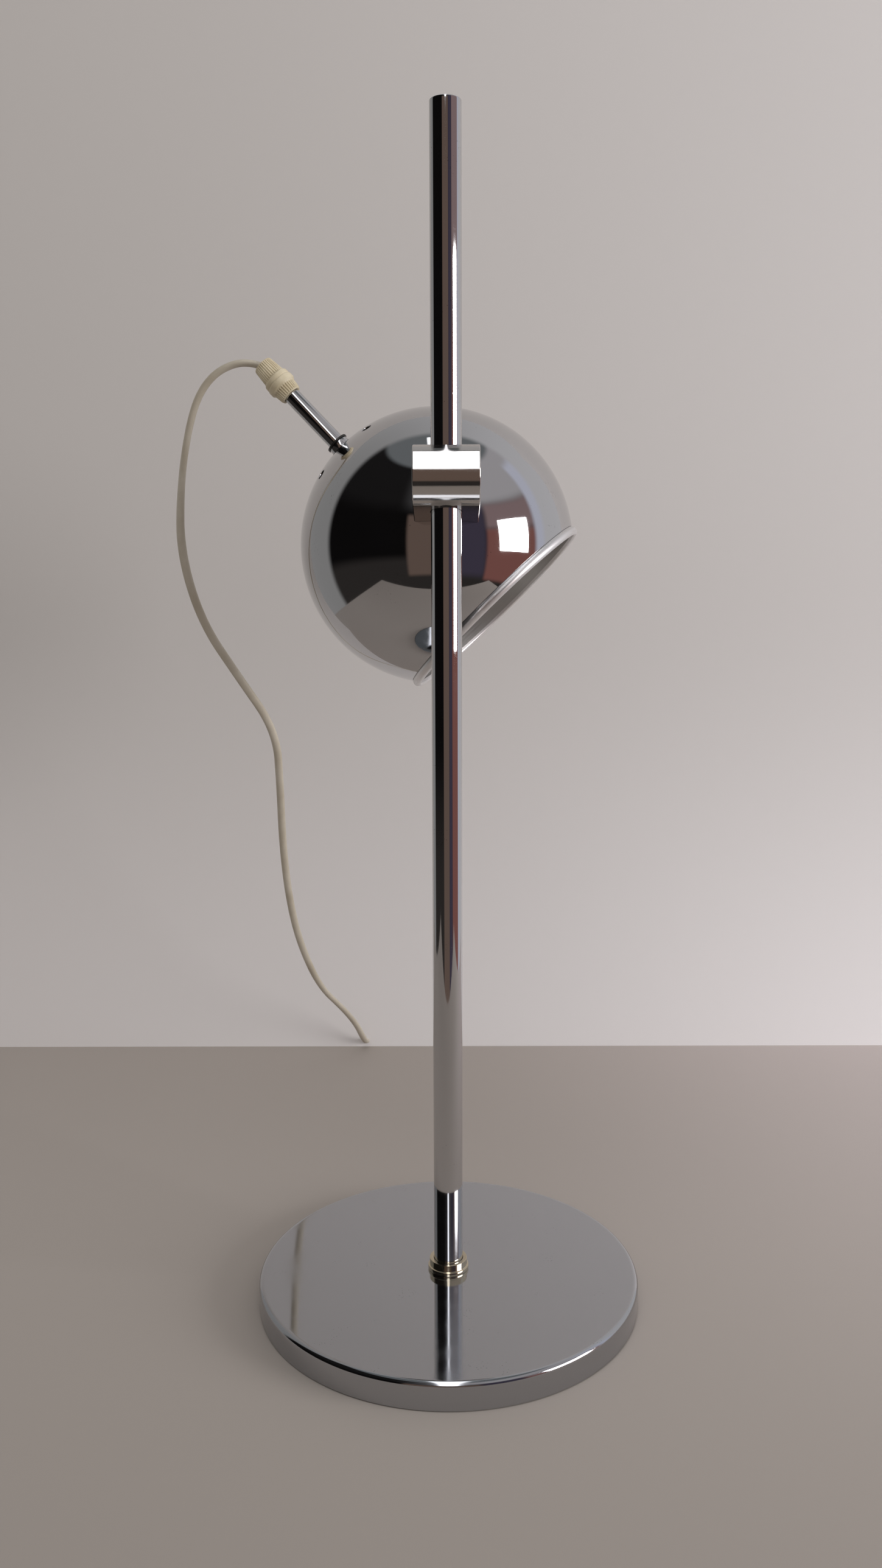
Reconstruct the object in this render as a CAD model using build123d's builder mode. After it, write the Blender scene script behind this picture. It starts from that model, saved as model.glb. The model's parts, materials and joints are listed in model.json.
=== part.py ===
"""Eyeball lamp: a chromed ball on a magnet, carried by a slider on a pole.

Millimetres. The origin is the middle of the felt's underside, +Z up the pole.
+Y runs from the pole to the ball, and +X to the right of it.
"""

from build123d import *
from math import cos, pi, radians, sin, sqrt, tan
import os

os.makedirs("parts", exist_ok=True)

# Clearances
running_gap = 0.05
seat_gap = 0.25
thread_gap = 0.1

# Base
base_radius = 105.5
base_height = 15.3
base_edge_radius = 3.0
cover_wall = 1.2
cover_lift = 0.6
felt_thickness = 1.5
felt_inset = 2.0
weight_gap = 0.2
bolt_radius = 4.0
bolt_head_across = 13.0
bolt_head_height = 5.3
bolt_hole_gap = 0.3
base_washer_radius = 9.0
base_washer_thickness = 1.6
recess_gap = 0.6

# Pole
pole_radius = 8.0
pole_wall = 1.5
pole_top = 628.0
pole_cap_thickness = 1.2
pole_plug_length = 8.0
foot_length = 22.0
collar_flange_radius = 11.3
collar_flange_height = 2.2
collar_radius = 10.45
collar_height = 6.2

# Slider on the pole: a bar with a round front, carried back to a pad that hugs the ball
slider_z = 449.5
slider_radius = 15.4
slider_length = 34.0
slider_edge = 0.5
front_advance = 7.5
front_drop = 1.4
pad_half_height = 15.0
pad_overlap = 5.0
pole_hole_gap = 0.3
bush_wall = 1.45
bush_inset = 5.2
bush_slot = 1.5
clip_depth = 0.6
clip_thickness = 0.8
clip_gap_angle = 50.0

# Ball, its place on the slider's magnet and the way that its mouth looks
ball_radius = 80.0
ball_wall = 1.0
mouth_azimuth = -8.5
mouth_elevation = -45.8
mouth_height = 47.1
ring_joint = 0.25
ring_band_stand = 0.85
ring_band_rise = 2.4
ring_lip_rise = 5.1
ring_lip_inset = 1.45
ring_wall = 1.2
ring_sleeve_depth = 9.0
vent_radius = 3.0
vent_angle = 26.7
vent_start = 33.8
vent_count = 6

# Magnet seat between slider and ball: how far it stands out, falls and turns to the left
cup_stand = 6.96
seat_fall = 18.69
seat_turn = 3.31
seat_depth = 1.2
cup_radius = 12.0
cup_wall = 2.0
cup_neck_radius = 7.0
cup_floor = 1.5
stud_radius = 2.5
stud_thread = 2.6
stud_head_radius = 3.6
stud_head_height = 2.5
magnet_bore_gap = 0.4

# Tube through the ball, distances from the ball's centre
tube_radius = 5.0
tube_wall = 1.5
tube_inner_end = 58.0
tube_outer_end = 134.0
collar_ring_radius = 6.3
collar_ring_length = 4.5
thin_washer_radius = 6.9
thin_washer_thickness = 1.2
nut_across = 14.0
nut_thickness = 3.0
nut_washer_radius = 9.0
nut_washer_thickness = 1.0

# Cord grip
grip_start = 124.0
grip_rim_radius = 6.3
grip_rim_length = 0.6
grip_small_radius = 6.8
grip_large_radius = 7.75
grip_ribbed_length = 6.6
flange_radius = 8.6
flange_length = 3.6
step_radius = 8.25
step_length = 3.2
cap_large_radius = 7.15
cap_small_radius = 6.05
cap_length = 10.9
rib_count = 30
rib_depth = 0.45
sleeve_radius = 5.2
sleeve_length = 5.0
sleeve_start = 134.6
cap_mouth_radius = 5.0
cord_start = 138.0

# Cord
cord_radius = 2.5
cord_gap = 0.1
cord_lead = 8.0
corner_share = 0.45

# Lamp holder, bulb and reflector
holder_cap_radius = 14.0
holder_cap_length = 16.0
holder_radius = 13.5
holder_wall = 1.5
holder_length = 30.0
shoulder_radius = 16.0
shoulder_thickness = 2.4
shoulder_place = 34.0
core_thickness = 7.0
contact_radius = 3.0
contact_thickness = 1.4
screw_shell_radius = 7.6
screw_shell_wall = 0.5
shade_ring_radius = 17.5
shade_ring_length = 5.0
reflector_wall = 0.8
reflector_seat_radius = 20.0
reflector_middle_radius = 49.0
reflector_middle_rise = -3.0
bulb_cap_length = 17.0
bulb_neck_radius = 11.0
bulb_radius = 22.5
bulb_wall = 0.7
bulb_length = 50.0
wire_radius = 0.9
wire_spread = 1.1
wire_entry = 5.5
wire_lead = 2.0

# Switch on the cord
switch_x = 5.0
switch_y = 432.0
switch_length = 52.0
switch_width = 24.0
switch_height = 15.0
switch_wall = 1.6
switch_corner = 5.0
switch_edge = 1.5
nose_length = 7.0
nose_large_radius = 6.0
nose_small_radius = 4.0
rocker_length = 16.4
rocker_width = 10.4
rocker_gap = 0.6
rocker_rise = 1.6
rocker_depth = 4.4
rocker_tilt = 7.0
rocker_pin_radius = 1.2
rocker_pin_drop = 3.6
ear_thickness = 1.8
screw_place = 20.0
screw_radius = 1.4
screw_head_radius = 2.6
screw_head_height = 1.6
screw_boss_radius = 3.0
blade_thickness = 0.8
blade_width = 5.0
blade_length = 26.0

# Coil of spare cord, held by a tie
coil_x = 74.0
coil_y = 432.0
coil_radius = 36.0
coil_gap = 0.5
coil_lead = 5.0
coil_lower_half_turns = 5
coil_upper_half_turns = 3
tie_thickness = 0.8
tie_width = 6.0
tie_gap = 0.3
link_lead = 9.0
plug_lead = 10.0

# Plug
plug_x = 30.0
plug_y = 503.5
relief_length = 20.0
relief_small_radius = 3.4
relief_large_radius = 4.6
plug_neck_width = 10.2
plug_neck_length = 13.0
plug_flat = 0.8
plug_length = 23.0
plug_width = 35.3
plug_height = 13.7
pin_radius = 2.0
pin_length = 19.0
pin_root = 8.0
pin_spacing = 18.0

# Directions and places that follow from the sizes
slider_centre = Vector(0, 0, slider_z)
seat_way = Vector(
    -cos(radians(seat_fall)) * sin(radians(seat_turn)),
    cos(radians(seat_fall)) * cos(radians(seat_turn)),
    -sin(radians(seat_fall)),
)
seat_distance = slider_radius - seat_depth
ball_distance = slider_radius + cup_stand + ball_radius
ball_centre = slider_centre + seat_way * ball_distance
mouth_way = Vector(
    cos(radians(mouth_elevation)) * cos(radians(mouth_azimuth)),
    cos(radians(mouth_elevation)) * sin(radians(mouth_azimuth)),
    sin(radians(mouth_elevation)),
)
tube_way = mouth_way * -1
tube_side = tube_way.cross(Vector(0, 0, 1)).normalized()
pole_bore = pole_radius - pole_wall
tube_bore = tube_radius - tube_wall
bush_radius = pole_radius + running_gap + bush_wall


def tube_plane(distance):
    """The plane square to the tube at a distance from the ball's centre."""
    return Plane(origin=ball_centre + tube_way * distance, x_dir=tube_side, z_dir=tube_way)


def spin_plane(origin, way):
    """A plane whose Y axis is the way of an axis to revolve about."""
    side = way.cross(Vector(0, 0, 1)).normalized()
    return Plane(origin=origin, x_dir=side, z_dir=side.cross(way))


mouth_plane = spin_plane(ball_centre, mouth_way)
mouth_axis = Axis(ball_centre, mouth_way)
seat_plane = spin_plane(slider_centre, seat_way)
seat_axis = Axis(slider_centre, seat_way)


def ball_height(radius, distance):
    """How far along the axis a sphere of one radius stands at a distance from the axis."""
    return sqrt(radius**2 - distance**2)


def save(sub_part, name):
    sub_part.part.label = name
    export_step(sub_part.part, f"parts/{name}.step")


# Base: a spun cover over an iron weight, on felt
with BuildPart() as base_cover:
    with BuildSketch(Plane.XY.offset(cover_lift)):
        Circle(base_radius)
    extrude(amount=base_height - cover_lift)
    fillet(base_cover.edges().group_by(Axis.Z)[-1], base_edge_radius)
    offset(amount=-cover_wall, openings=base_cover.faces().sort_by(Axis.Z)[0])
    with BuildSketch(Plane.XY.offset(base_height)):
        Circle(bolt_radius + bolt_hole_gap)
    extrude(amount=-2 * cover_wall, mode=Mode.SUBTRACT)
save(base_cover, "base_cover")

recess_depth = base_washer_thickness + bolt_head_height + recess_gap
weight_top = base_height - cover_wall
with BuildPart() as base_weight:
    with BuildSketch(Plane.XY.offset(felt_thickness)):
        Circle(base_radius - cover_wall - weight_gap)
    extrude(amount=weight_top - felt_thickness)
    fillet(base_weight.edges().group_by(Axis.Z)[-1], base_edge_radius - cover_wall)
    with BuildSketch(Plane.XY.offset(felt_thickness)):
        Circle(base_washer_radius + recess_gap)
    extrude(amount=recess_depth, mode=Mode.SUBTRACT)
    with BuildSketch(Plane.XY.offset(felt_thickness)):
        Circle(bolt_radius + bolt_hole_gap)
    extrude(amount=weight_top - felt_thickness, mode=Mode.SUBTRACT)
save(base_weight, "base_weight")

with BuildPart() as base_felt:
    with BuildSketch():
        Circle(base_radius - felt_inset)
    extrude(amount=felt_thickness)
save(base_felt, "base_felt")

washer_bottom = felt_thickness + recess_depth - base_washer_thickness
with BuildPart() as base_washer:
    with BuildSketch(Plane.XY.offset(washer_bottom)):
        Circle(base_washer_radius)
        Circle(bolt_radius + bolt_hole_gap, mode=Mode.SUBTRACT)
    extrude(amount=base_washer_thickness)
save(base_washer, "base_washer")

with BuildPart() as base_bolt:
    with BuildSketch(Plane.XY.offset(washer_bottom - bolt_head_height)):
        RegularPolygon(bolt_head_across / 2, 6, major_radius=False)
    extrude(amount=bolt_head_height)
    with BuildSketch(Plane.XY.offset(washer_bottom)):
        Circle(bolt_radius)
    extrude(amount=base_height + foot_length - 2 * recess_gap - washer_bottom)
save(base_bolt, "base_bolt")

# Pole: a tube with a threaded foot, a collar and a flush cap
with BuildPart() as pole_tube:
    with BuildSketch(Plane.XY.offset(base_height)):
        Circle(pole_radius)
        Circle(pole_bore, mode=Mode.SUBTRACT)
    extrude(amount=pole_top - pole_cap_thickness - base_height)
save(pole_tube, "pole_tube")

with BuildPart() as pole_foot:
    with BuildSketch(Plane.XY.offset(base_height)):
        Circle(pole_bore - running_gap)
        Circle(bolt_radius + thread_gap, mode=Mode.SUBTRACT)
    extrude(amount=foot_length)
save(pole_foot, "pole_foot")

with BuildPart() as pole_cap:
    with BuildSketch(Plane.XY.offset(pole_top - pole_cap_thickness)):
        Circle(pole_radius)
    extrude(amount=pole_cap_thickness)
    chamfer(pole_cap.edges().group_by(Axis.Z)[-1], pole_cap_thickness / 4)
    with BuildSketch(Plane.XY.offset(pole_top - pole_cap_thickness)):
        Circle(pole_bore - running_gap)
    extrude(amount=-pole_plug_length)
save(pole_cap, "pole_cap")

with BuildPart() as pole_collar:
    with BuildSketch(Plane.XY.offset(base_height)):
        Circle(collar_flange_radius)
    extrude(amount=collar_flange_height)
    with BuildSketch(Plane.XY.offset(base_height)):
        Circle(collar_radius)
    extrude(amount=collar_height)
    fillet(pole_collar.edges().group_by(Axis.Z)[-1], (collar_radius - pole_radius) / 4)
    with BuildSketch(Plane.XY.offset(base_height)):
        Circle(pole_radius + thread_gap)
    extrude(amount=collar_height, mode=Mode.SUBTRACT)
save(pole_collar, "pole_collar")

# Slider: a bush that grips the pole, and a housing that turns on it, held by a snap ring between them
bush_half = slider_radius - bush_inset
clip_bottom = slider_z + bush_half - 2 * clip_thickness
clip_radius = bush_radius + clip_depth
with BuildPart() as slider_bush:
    with BuildSketch(Plane.XY.offset(slider_z - bush_half)):
        Circle(bush_radius)
    extrude(amount=2 * bush_half)
    with BuildSketch(Plane.XY.offset(clip_bottom)):
        Circle(bush_radius)
        Circle(bush_radius - clip_depth, mode=Mode.SUBTRACT)
    extrude(amount=clip_thickness, mode=Mode.SUBTRACT)
    with BuildSketch(Plane.XY.offset(slider_z - bush_half)):
        Circle(pole_radius + running_gap)
        with Locations((-pole_radius - bush_wall, 0)):
            Rectangle(4 * bush_wall, bush_slot)
    extrude(amount=2 * bush_half, mode=Mode.SUBTRACT)
save(slider_bush, "slider_bush")

with BuildPart() as bush_clip:
    with BuildSketch(Plane.XY.offset(clip_bottom + running_gap)):
        Circle(clip_radius)
        Circle(bush_radius - clip_depth + running_gap, mode=Mode.SUBTRACT)
        with Locations((-clip_radius, 0)):
            Rectangle(clip_radius, 2 * clip_radius * sin(radians(clip_gap_angle / 2)), mode=Mode.SUBTRACT)
    extrude(amount=clip_thickness - 2 * running_gap)
save(bush_clip, "bush_clip")

seat_radius = ball_radius + seat_gap
pad_start = ball_distance - ball_radius
head_start = slider_radius + seat_gap
with BuildPart() as slider_housing:
    with BuildSketch(Plane(origin=(-slider_length / 2, 0, slider_z), x_dir=(0, 1, 0), z_dir=(1, 0, 0))):
        with Locations((-front_advance, -front_drop)):
            Circle(slider_radius)
        with Locations((pad_start * cos(radians(seat_fall)), -pad_start * sin(radians(seat_fall)))):
            Rectangle(pad_overlap, 2 * pad_half_height, rotation=-seat_fall, align=(Align.MIN, Align.CENTER))
        make_hull()
    extrude(amount=slider_length)
    chamfer(slider_housing.faces().filter_by(Axis.X).edges(), slider_edge)
    with Locations(ball_centre):
        Sphere(seat_radius, mode=Mode.SUBTRACT)
    with BuildSketch(Plane.XY.offset(slider_z)):
        Circle(pole_radius + pole_hole_gap)
    extrude(amount=2 * slider_radius, both=True, mode=Mode.SUBTRACT)
    with BuildSketch(Plane.XY.offset(slider_z - bush_half - running_gap)):
        Circle(bush_radius + running_gap)
    extrude(amount=3 * slider_radius, mode=Mode.SUBTRACT)
    with BuildSketch(Plane.XY.offset(clip_bottom)):
        Circle(clip_radius + running_gap)
    extrude(amount=clip_thickness, mode=Mode.SUBTRACT)
    with BuildSketch(Plane(origin=slider_centre + seat_way * (head_start - seat_gap), z_dir=seat_way)):
        Circle(cup_radius + seat_gap)
    extrude(amount=slider_radius, mode=Mode.SUBTRACT)
    with BuildSketch(Plane(origin=slider_centre + seat_way * seat_distance, z_dir=seat_way)):
        Circle(cup_neck_radius + seat_gap)
    extrude(amount=slider_radius, mode=Mode.SUBTRACT)
    with BuildSketch(Plane(origin=slider_centre + seat_way * seat_distance, z_dir=seat_way)):
        Circle(stud_radius + thread_gap)
    extrude(amount=-slider_radius / 2, mode=Mode.SUBTRACT)
save(slider_housing, "slider_housing")

# Magnet seat: a steel cup that turns on a stud, with the ball against its rim
floor_face = head_start + cup_floor
magnet_radius = cup_radius - cup_wall
with BuildPart() as magnet_stud:
    with BuildSketch(seat_plane):
        with BuildLine():
            Polyline(
                (0, seat_distance - stud_thread),
                (stud_radius, seat_distance - stud_thread),
                (stud_radius, floor_face + running_gap),
                (stud_head_radius, floor_face + running_gap),
                (stud_head_radius, floor_face + running_gap + stud_head_height),
                (0, floor_face + running_gap + stud_head_height),
                close=True,
            )
        make_face()
    revolve(axis=seat_axis)
save(magnet_stud, "magnet_stud")

rim_middle = (cup_radius + magnet_radius) / 2
with BuildPart() as magnet_cup:
    with BuildSketch(seat_plane):
        with BuildLine():
            Polyline(
                (magnet_radius, ball_distance - ball_height(seat_radius, magnet_radius)),
                (magnet_radius, floor_face),
                (stud_radius + running_gap, floor_face),
                (stud_radius + running_gap, seat_distance + running_gap),
                (cup_neck_radius, seat_distance + running_gap),
                (cup_neck_radius, head_start),
                (cup_radius, head_start),
                (cup_radius, ball_distance - ball_height(seat_radius, cup_radius)),
            )
            ThreePointArc(
                (cup_radius, ball_distance - ball_height(seat_radius, cup_radius)),
                (rim_middle, ball_distance - ball_height(seat_radius, rim_middle)),
                (magnet_radius, ball_distance - ball_height(seat_radius, magnet_radius)),
            )
        make_face()
    revolve(axis=seat_axis)
save(magnet_cup, "magnet_cup")

magnet_face = ball_distance - ball_radius - 2 * seat_gap
with BuildPart() as seat_magnet:
    with BuildSketch(Plane(origin=slider_centre + seat_way * floor_face, z_dir=seat_way)):
        Circle(magnet_radius - running_gap)
        Circle(stud_head_radius + magnet_bore_gap, mode=Mode.SUBTRACT)
    extrude(amount=magnet_face - floor_face)
save(seat_magnet, "seat_magnet")

# Ball: one thin steel shell, open at the mouth, drilled for the tube and the vents
inner_radius = ball_radius - ball_wall
rear_hole = tube_radius + thread_gap
with BuildPart() as ball_shell:
    with BuildSketch(mouth_plane):
        with BuildLine():
            ThreePointArc(
                (rear_hole, -ball_height(ball_radius, rear_hole)),
                (ball_radius, 0),
                (ball_height(ball_radius, mouth_height), mouth_height),
            )
            Line(
                (ball_height(ball_radius, mouth_height), mouth_height),
                (ball_height(inner_radius, mouth_height), mouth_height),
            )
            ThreePointArc(
                (ball_height(inner_radius, mouth_height), mouth_height),
                (inner_radius, 0),
                (rear_hole, -ball_height(inner_radius, rear_hole)),
            )
            Line(
                (rear_hole, -ball_height(inner_radius, rear_hole)),
                (rear_hole, -ball_height(ball_radius, rear_hole)),
            )
        make_face()
    revolve(axis=mouth_axis)
    with BuildSketch(tube_plane(ball_radius)):
        with PolarLocations(ball_radius * sin(radians(vent_angle)), vent_count, start_angle=vent_start):
            Circle(vent_radius)
    extrude(amount=-ball_radius / 2, mode=Mode.SUBTRACT)
save(ball_shell, "ball_shell")

ring_base = mouth_height + ring_joint
sleeve_radius_outer = ball_height(inner_radius, mouth_height) - seat_gap
sleeve_bore = sleeve_radius_outer - ring_wall
ring_top = mouth_height + ring_lip_rise
ring_foot_radius = ball_height(ball_radius, mouth_height)
ring_lip_radius = ring_foot_radius - ring_lip_inset
with BuildPart() as mouth_ring:
    with BuildSketch(mouth_plane):
        with BuildLine():
            Polyline(
                (ring_lip_radius, ring_top),
                (sleeve_bore + ring_wall / 2, ring_top - ring_wall / 2),
                (sleeve_bore, ring_top - ring_wall),
                (sleeve_bore, ring_base - ring_sleeve_depth),
                (sleeve_radius_outer, ring_base - ring_sleeve_depth),
                (sleeve_radius_outer, ring_base),
                (ring_foot_radius, ring_base),
            )
            ThreePointArc(
                (ring_foot_radius, ring_base),
                (ring_foot_radius + ring_band_stand, mouth_height + ring_band_rise),
                (ring_lip_radius, ring_top),
            )
        make_face()
    revolve(axis=mouth_axis)
save(mouth_ring, "mouth_ring")

# Reflector: a spun bowl inside the ball, with its rim in the ring's sleeve
bowl_radius = sleeve_bore - running_gap
bowl_front = ring_top - 2 * ring_wall
bowl_start = ring_base - ring_sleeve_depth
bowl_seat = -(shoulder_place - shoulder_thickness)
bowl_middle = (reflector_middle_radius, reflector_middle_rise)
collar_hole = holder_radius + seat_gap
with BuildPart() as inner_reflector:
    with BuildSketch(mouth_plane):
        with BuildLine():
            Line((bowl_radius, bowl_front), (bowl_radius, bowl_start))
            ThreePointArc(
                (bowl_radius, bowl_start), bowl_middle, (reflector_seat_radius, bowl_seat)
            )
            Polyline(
                (reflector_seat_radius, bowl_seat),
                (collar_hole, bowl_seat),
                (collar_hole, bowl_seat + reflector_wall),
                (reflector_seat_radius - reflector_wall / 2, bowl_seat + reflector_wall),
            )
            ThreePointArc(
                (reflector_seat_radius - reflector_wall / 2, bowl_seat + reflector_wall),
                (bowl_middle[0] - reflector_wall / 2, bowl_middle[1] + reflector_wall / 2),
                (bowl_radius - reflector_wall, bowl_start),
            )
            Polyline(
                (bowl_radius - reflector_wall, bowl_start),
                (bowl_radius - reflector_wall, bowl_front),
                (bowl_radius, bowl_front),
            )
        make_face()
    revolve(axis=mouth_axis)
save(inner_reflector, "inner_reflector")


def ring_on_tube(start, length, radius, bore):
    """A plain ring round the tube's axis, from start outwards."""
    with BuildPart() as ring:
        with BuildSketch(tube_plane(start)):
            Circle(radius)
            if bore > 0:
                Circle(bore, mode=Mode.SUBTRACT)
        extrude(amount=length)
    return ring


# Tube, with the collar outside and the nut inside that clamp the shell
save(ring_on_tube(tube_inner_end, tube_outer_end - tube_inner_end, tube_radius, tube_bore),
     "handle_tube")

collar_start = ball_height(ball_radius, tube_radius) + running_gap
save(ring_on_tube(collar_start, collar_ring_length, collar_ring_radius, tube_radius + thread_gap),
     "tube_collar")
save(ring_on_tube(collar_start + collar_ring_length, thin_washer_thickness, thin_washer_radius,
                  tube_radius + thread_gap), "tube_washer")

washer_face = ball_height(inner_radius, nut_washer_radius) - running_gap
save(ring_on_tube(washer_face - nut_washer_thickness, nut_washer_thickness, nut_washer_radius,
                  tube_radius + thread_gap), "inner_washer")

with BuildPart() as inner_nut:
    with BuildSketch(tube_plane(washer_face - nut_washer_thickness)):
        RegularPolygon(nut_across / 2, 6, major_radius=False)
        Circle(tube_radius + thread_gap, mode=Mode.SUBTRACT)
    extrude(amount=-nut_thickness)
save(inner_nut, "inner_nut")


def star_points(radius):
    """Corners of a ribbed outline: every other one lies a rib's depth further in."""
    corners = []
    for k in range(2 * rib_count):
        reach = radius - rib_depth * (k % 2)
        corners.append((reach * cos(pi * k / rib_count), reach * sin(pi * k / rib_count)))
    return corners


# Cord grip: a body on the tube's end, and a cap that squeezes a sleeve on the cord
ribbed_start = grip_start + grip_rim_length
flange_start = ribbed_start + grip_ribbed_length
step_start = flange_start + flange_length
cap_start = step_start + step_length
cap_end = cap_start + cap_length
with BuildPart() as grip_body:
    with BuildSketch(tube_plane(grip_start)):
        Circle(grip_rim_radius)
    extrude(amount=grip_rim_length)
    with BuildSketch(tube_plane(ribbed_start)):
        Polygon(*star_points(grip_small_radius), align=None)
    with BuildSketch(tube_plane(flange_start)):
        Polygon(*star_points(grip_large_radius), align=None)
    loft(ruled=True)
    with BuildSketch(tube_plane(flange_start)):
        Circle(flange_radius)
    extrude(amount=flange_length)
    with BuildSketch(tube_plane(step_start)):
        Circle(step_radius)
    extrude(amount=step_length)
    with BuildSketch(tube_plane(grip_start)):
        Circle(tube_radius + thread_gap)
    extrude(amount=tube_outer_end + thread_gap - grip_start, mode=Mode.SUBTRACT)
    with BuildSketch(tube_plane(tube_outer_end)):
        Circle(sleeve_radius + cord_gap)
    extrude(amount=cap_start - tube_outer_end, mode=Mode.SUBTRACT)
save(grip_body, "grip_body")

sleeve_end = sleeve_start + sleeve_length
with BuildPart() as grip_cap:
    with BuildSketch(tube_plane(cap_start)):
        Polygon(*star_points(cap_large_radius), align=None)
    with BuildSketch(tube_plane(cap_end)):
        Polygon(*star_points(cap_small_radius), align=None)
    loft(ruled=True)
    with BuildSketch(tube_plane(cap_start)):
        Circle(sleeve_radius + cord_gap)
    extrude(amount=sleeve_end + cord_gap - cap_start, mode=Mode.SUBTRACT)
    with BuildSketch(tube_plane(cap_start)):
        Circle(cord_radius + cord_gap)
    with BuildSketch(tube_plane(cap_end)):
        Circle(cap_mouth_radius)
    loft(mode=Mode.SUBTRACT)
save(grip_cap, "grip_cap")

save(ring_on_tube(sleeve_start, sleeve_length, sleeve_radius, cord_radius + cord_gap),
     "clamp_sleeve")

# Lamp holder on the tube's inner end, distances from the ball's centre as above
cap_front = tube_inner_end + holder_cap_length / 2 - holder_cap_length
core_start = cap_front - core_thickness
shell_front = cap_front - holder_length
with BuildPart() as holder_cap:
    with BuildSketch(tube_plane(cap_front)):
        Circle(holder_cap_radius)
    extrude(amount=holder_cap_length)
    fillet(holder_cap.edges().filter_by(GeomType.CIRCLE).sort_by(mouth_axis)[0], holder_wall * 2)
    with BuildSketch(tube_plane(cap_front)):
        Circle(holder_cap_radius - holder_wall)
    extrude(amount=tube_inner_end - cap_front - running_gap, mode=Mode.SUBTRACT)
    with BuildSketch(tube_plane(tube_inner_end - 2 * running_gap)):
        Circle(tube_radius + thread_gap)
    extrude(amount=holder_cap_length, mode=Mode.SUBTRACT)
save(holder_cap, "holder_cap")

with BuildPart() as holder_shell:
    with BuildSketch(tube_plane(shell_front)):
        Circle(holder_radius)
    extrude(amount=holder_length)
    with BuildSketch(tube_plane(shoulder_place)):
        Circle(shoulder_radius)
    extrude(amount=-shoulder_thickness)
    with BuildSketch(tube_plane(shell_front)):
        Circle(holder_radius - holder_wall)
    extrude(amount=holder_length, mode=Mode.SUBTRACT)
save(holder_shell, "holder_shell")

with BuildPart() as holder_core:
    with BuildSketch(tube_plane(core_start)):
        Circle(holder_radius - holder_wall - running_gap)
        with Locations((wire_entry, 0), (-wire_entry, 0)):
            Circle(wire_radius + cord_gap, mode=Mode.SUBTRACT)
    extrude(amount=core_thickness)
save(holder_core, "holder_core")

contact_start = core_start - contact_thickness
save(ring_on_tube(contact_start, contact_thickness, contact_radius, 0), "centre_contact")

shade_ring_start = -bowl_seat - reflector_wall - shade_ring_length
save(ring_on_tube(shade_ring_start, shade_ring_length, shade_ring_radius,
                  holder_radius + thread_gap), "shade_ring")

# Bulb: a small frosted globe on a narrow screw cap
bulb_cap_radius = screw_shell_radius - screw_shell_wall - thread_gap
bulb_tip = contact_start - running_gap
bulb_foot = bulb_tip - contact_thickness
with BuildPart() as bulb_cap:
    with BuildSketch(tube_plane(bulb_foot)):
        Circle(bulb_cap_radius)
    extrude(amount=-bulb_cap_length)
    with BuildSketch(tube_plane(bulb_foot)):
        Circle(contact_radius)
    extrude(amount=contact_thickness)
save(bulb_cap, "bulb_cap")

screw_shell_front = bulb_foot - bulb_cap_length + seat_gap
save(ring_on_tube(screw_shell_front, core_start - screw_shell_front, screw_shell_radius,
                  screw_shell_radius - screw_shell_wall), "holder_thread")

glass_start = -(bulb_foot - bulb_cap_length)
globe_centre = glass_start + bulb_length - bulb_radius
neck_meet = globe_centre - ball_height(bulb_radius, bulb_neck_radius)
with BuildPart() as bulb_glass:
    with BuildSketch(mouth_plane):
        with BuildLine():
            Polyline(
                (bulb_cap_radius - bulb_wall, glass_start),
                (bulb_cap_radius, glass_start),
                (bulb_neck_radius, neck_meet),
            )
            ThreePointArc(
                (bulb_neck_radius, neck_meet),
                (bulb_radius, globe_centre),
                (0, globe_centre + bulb_radius),
            )
            Line((0, globe_centre + bulb_radius), (0, globe_centre + bulb_radius - bulb_wall))
            ThreePointArc(
                (0, globe_centre + bulb_radius - bulb_wall),
                (bulb_radius - bulb_wall, globe_centre),
                (bulb_neck_radius - bulb_wall, neck_meet),
            )
            Line((bulb_neck_radius - bulb_wall, neck_meet), (bulb_cap_radius - bulb_wall, glass_start))
        make_face()
    revolve(axis=mouth_axis)
save(bulb_glass, "bulb_glass")

# Flex inside the tube, and its two cores on to the holder
save(ring_on_tube(tube_inner_end, cord_start - tube_inner_end, cord_radius, 0), "inner_flex")

for name, side in (("live_wire", 1), ("neutral_wire", -1)):
    with BuildPart() as wire:
        with BuildLine() as wire_path:
            start = tube_plane(tube_inner_end).from_local_coords((side * wire_spread, 0, 0))
            bend_one = tube_plane(tube_inner_end - wire_lead).from_local_coords((side * wire_spread, 0, 0))
            bend_two = tube_plane(cap_front + wire_lead).from_local_coords((side * wire_entry, 0, 0))
            finish = tube_plane(core_start + wire_lead).from_local_coords((side * wire_entry, 0, 0))
            FilletPolyline(start, bend_one, bend_two, finish, radius=wire_radius * 1.5)
        with BuildSketch(tube_plane(tube_inner_end)):
            with Locations((side * wire_spread, 0)):
                Circle(wire_radius)
        sweep(path=wire_path.wires()[0])
    save(wire, name)

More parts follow.
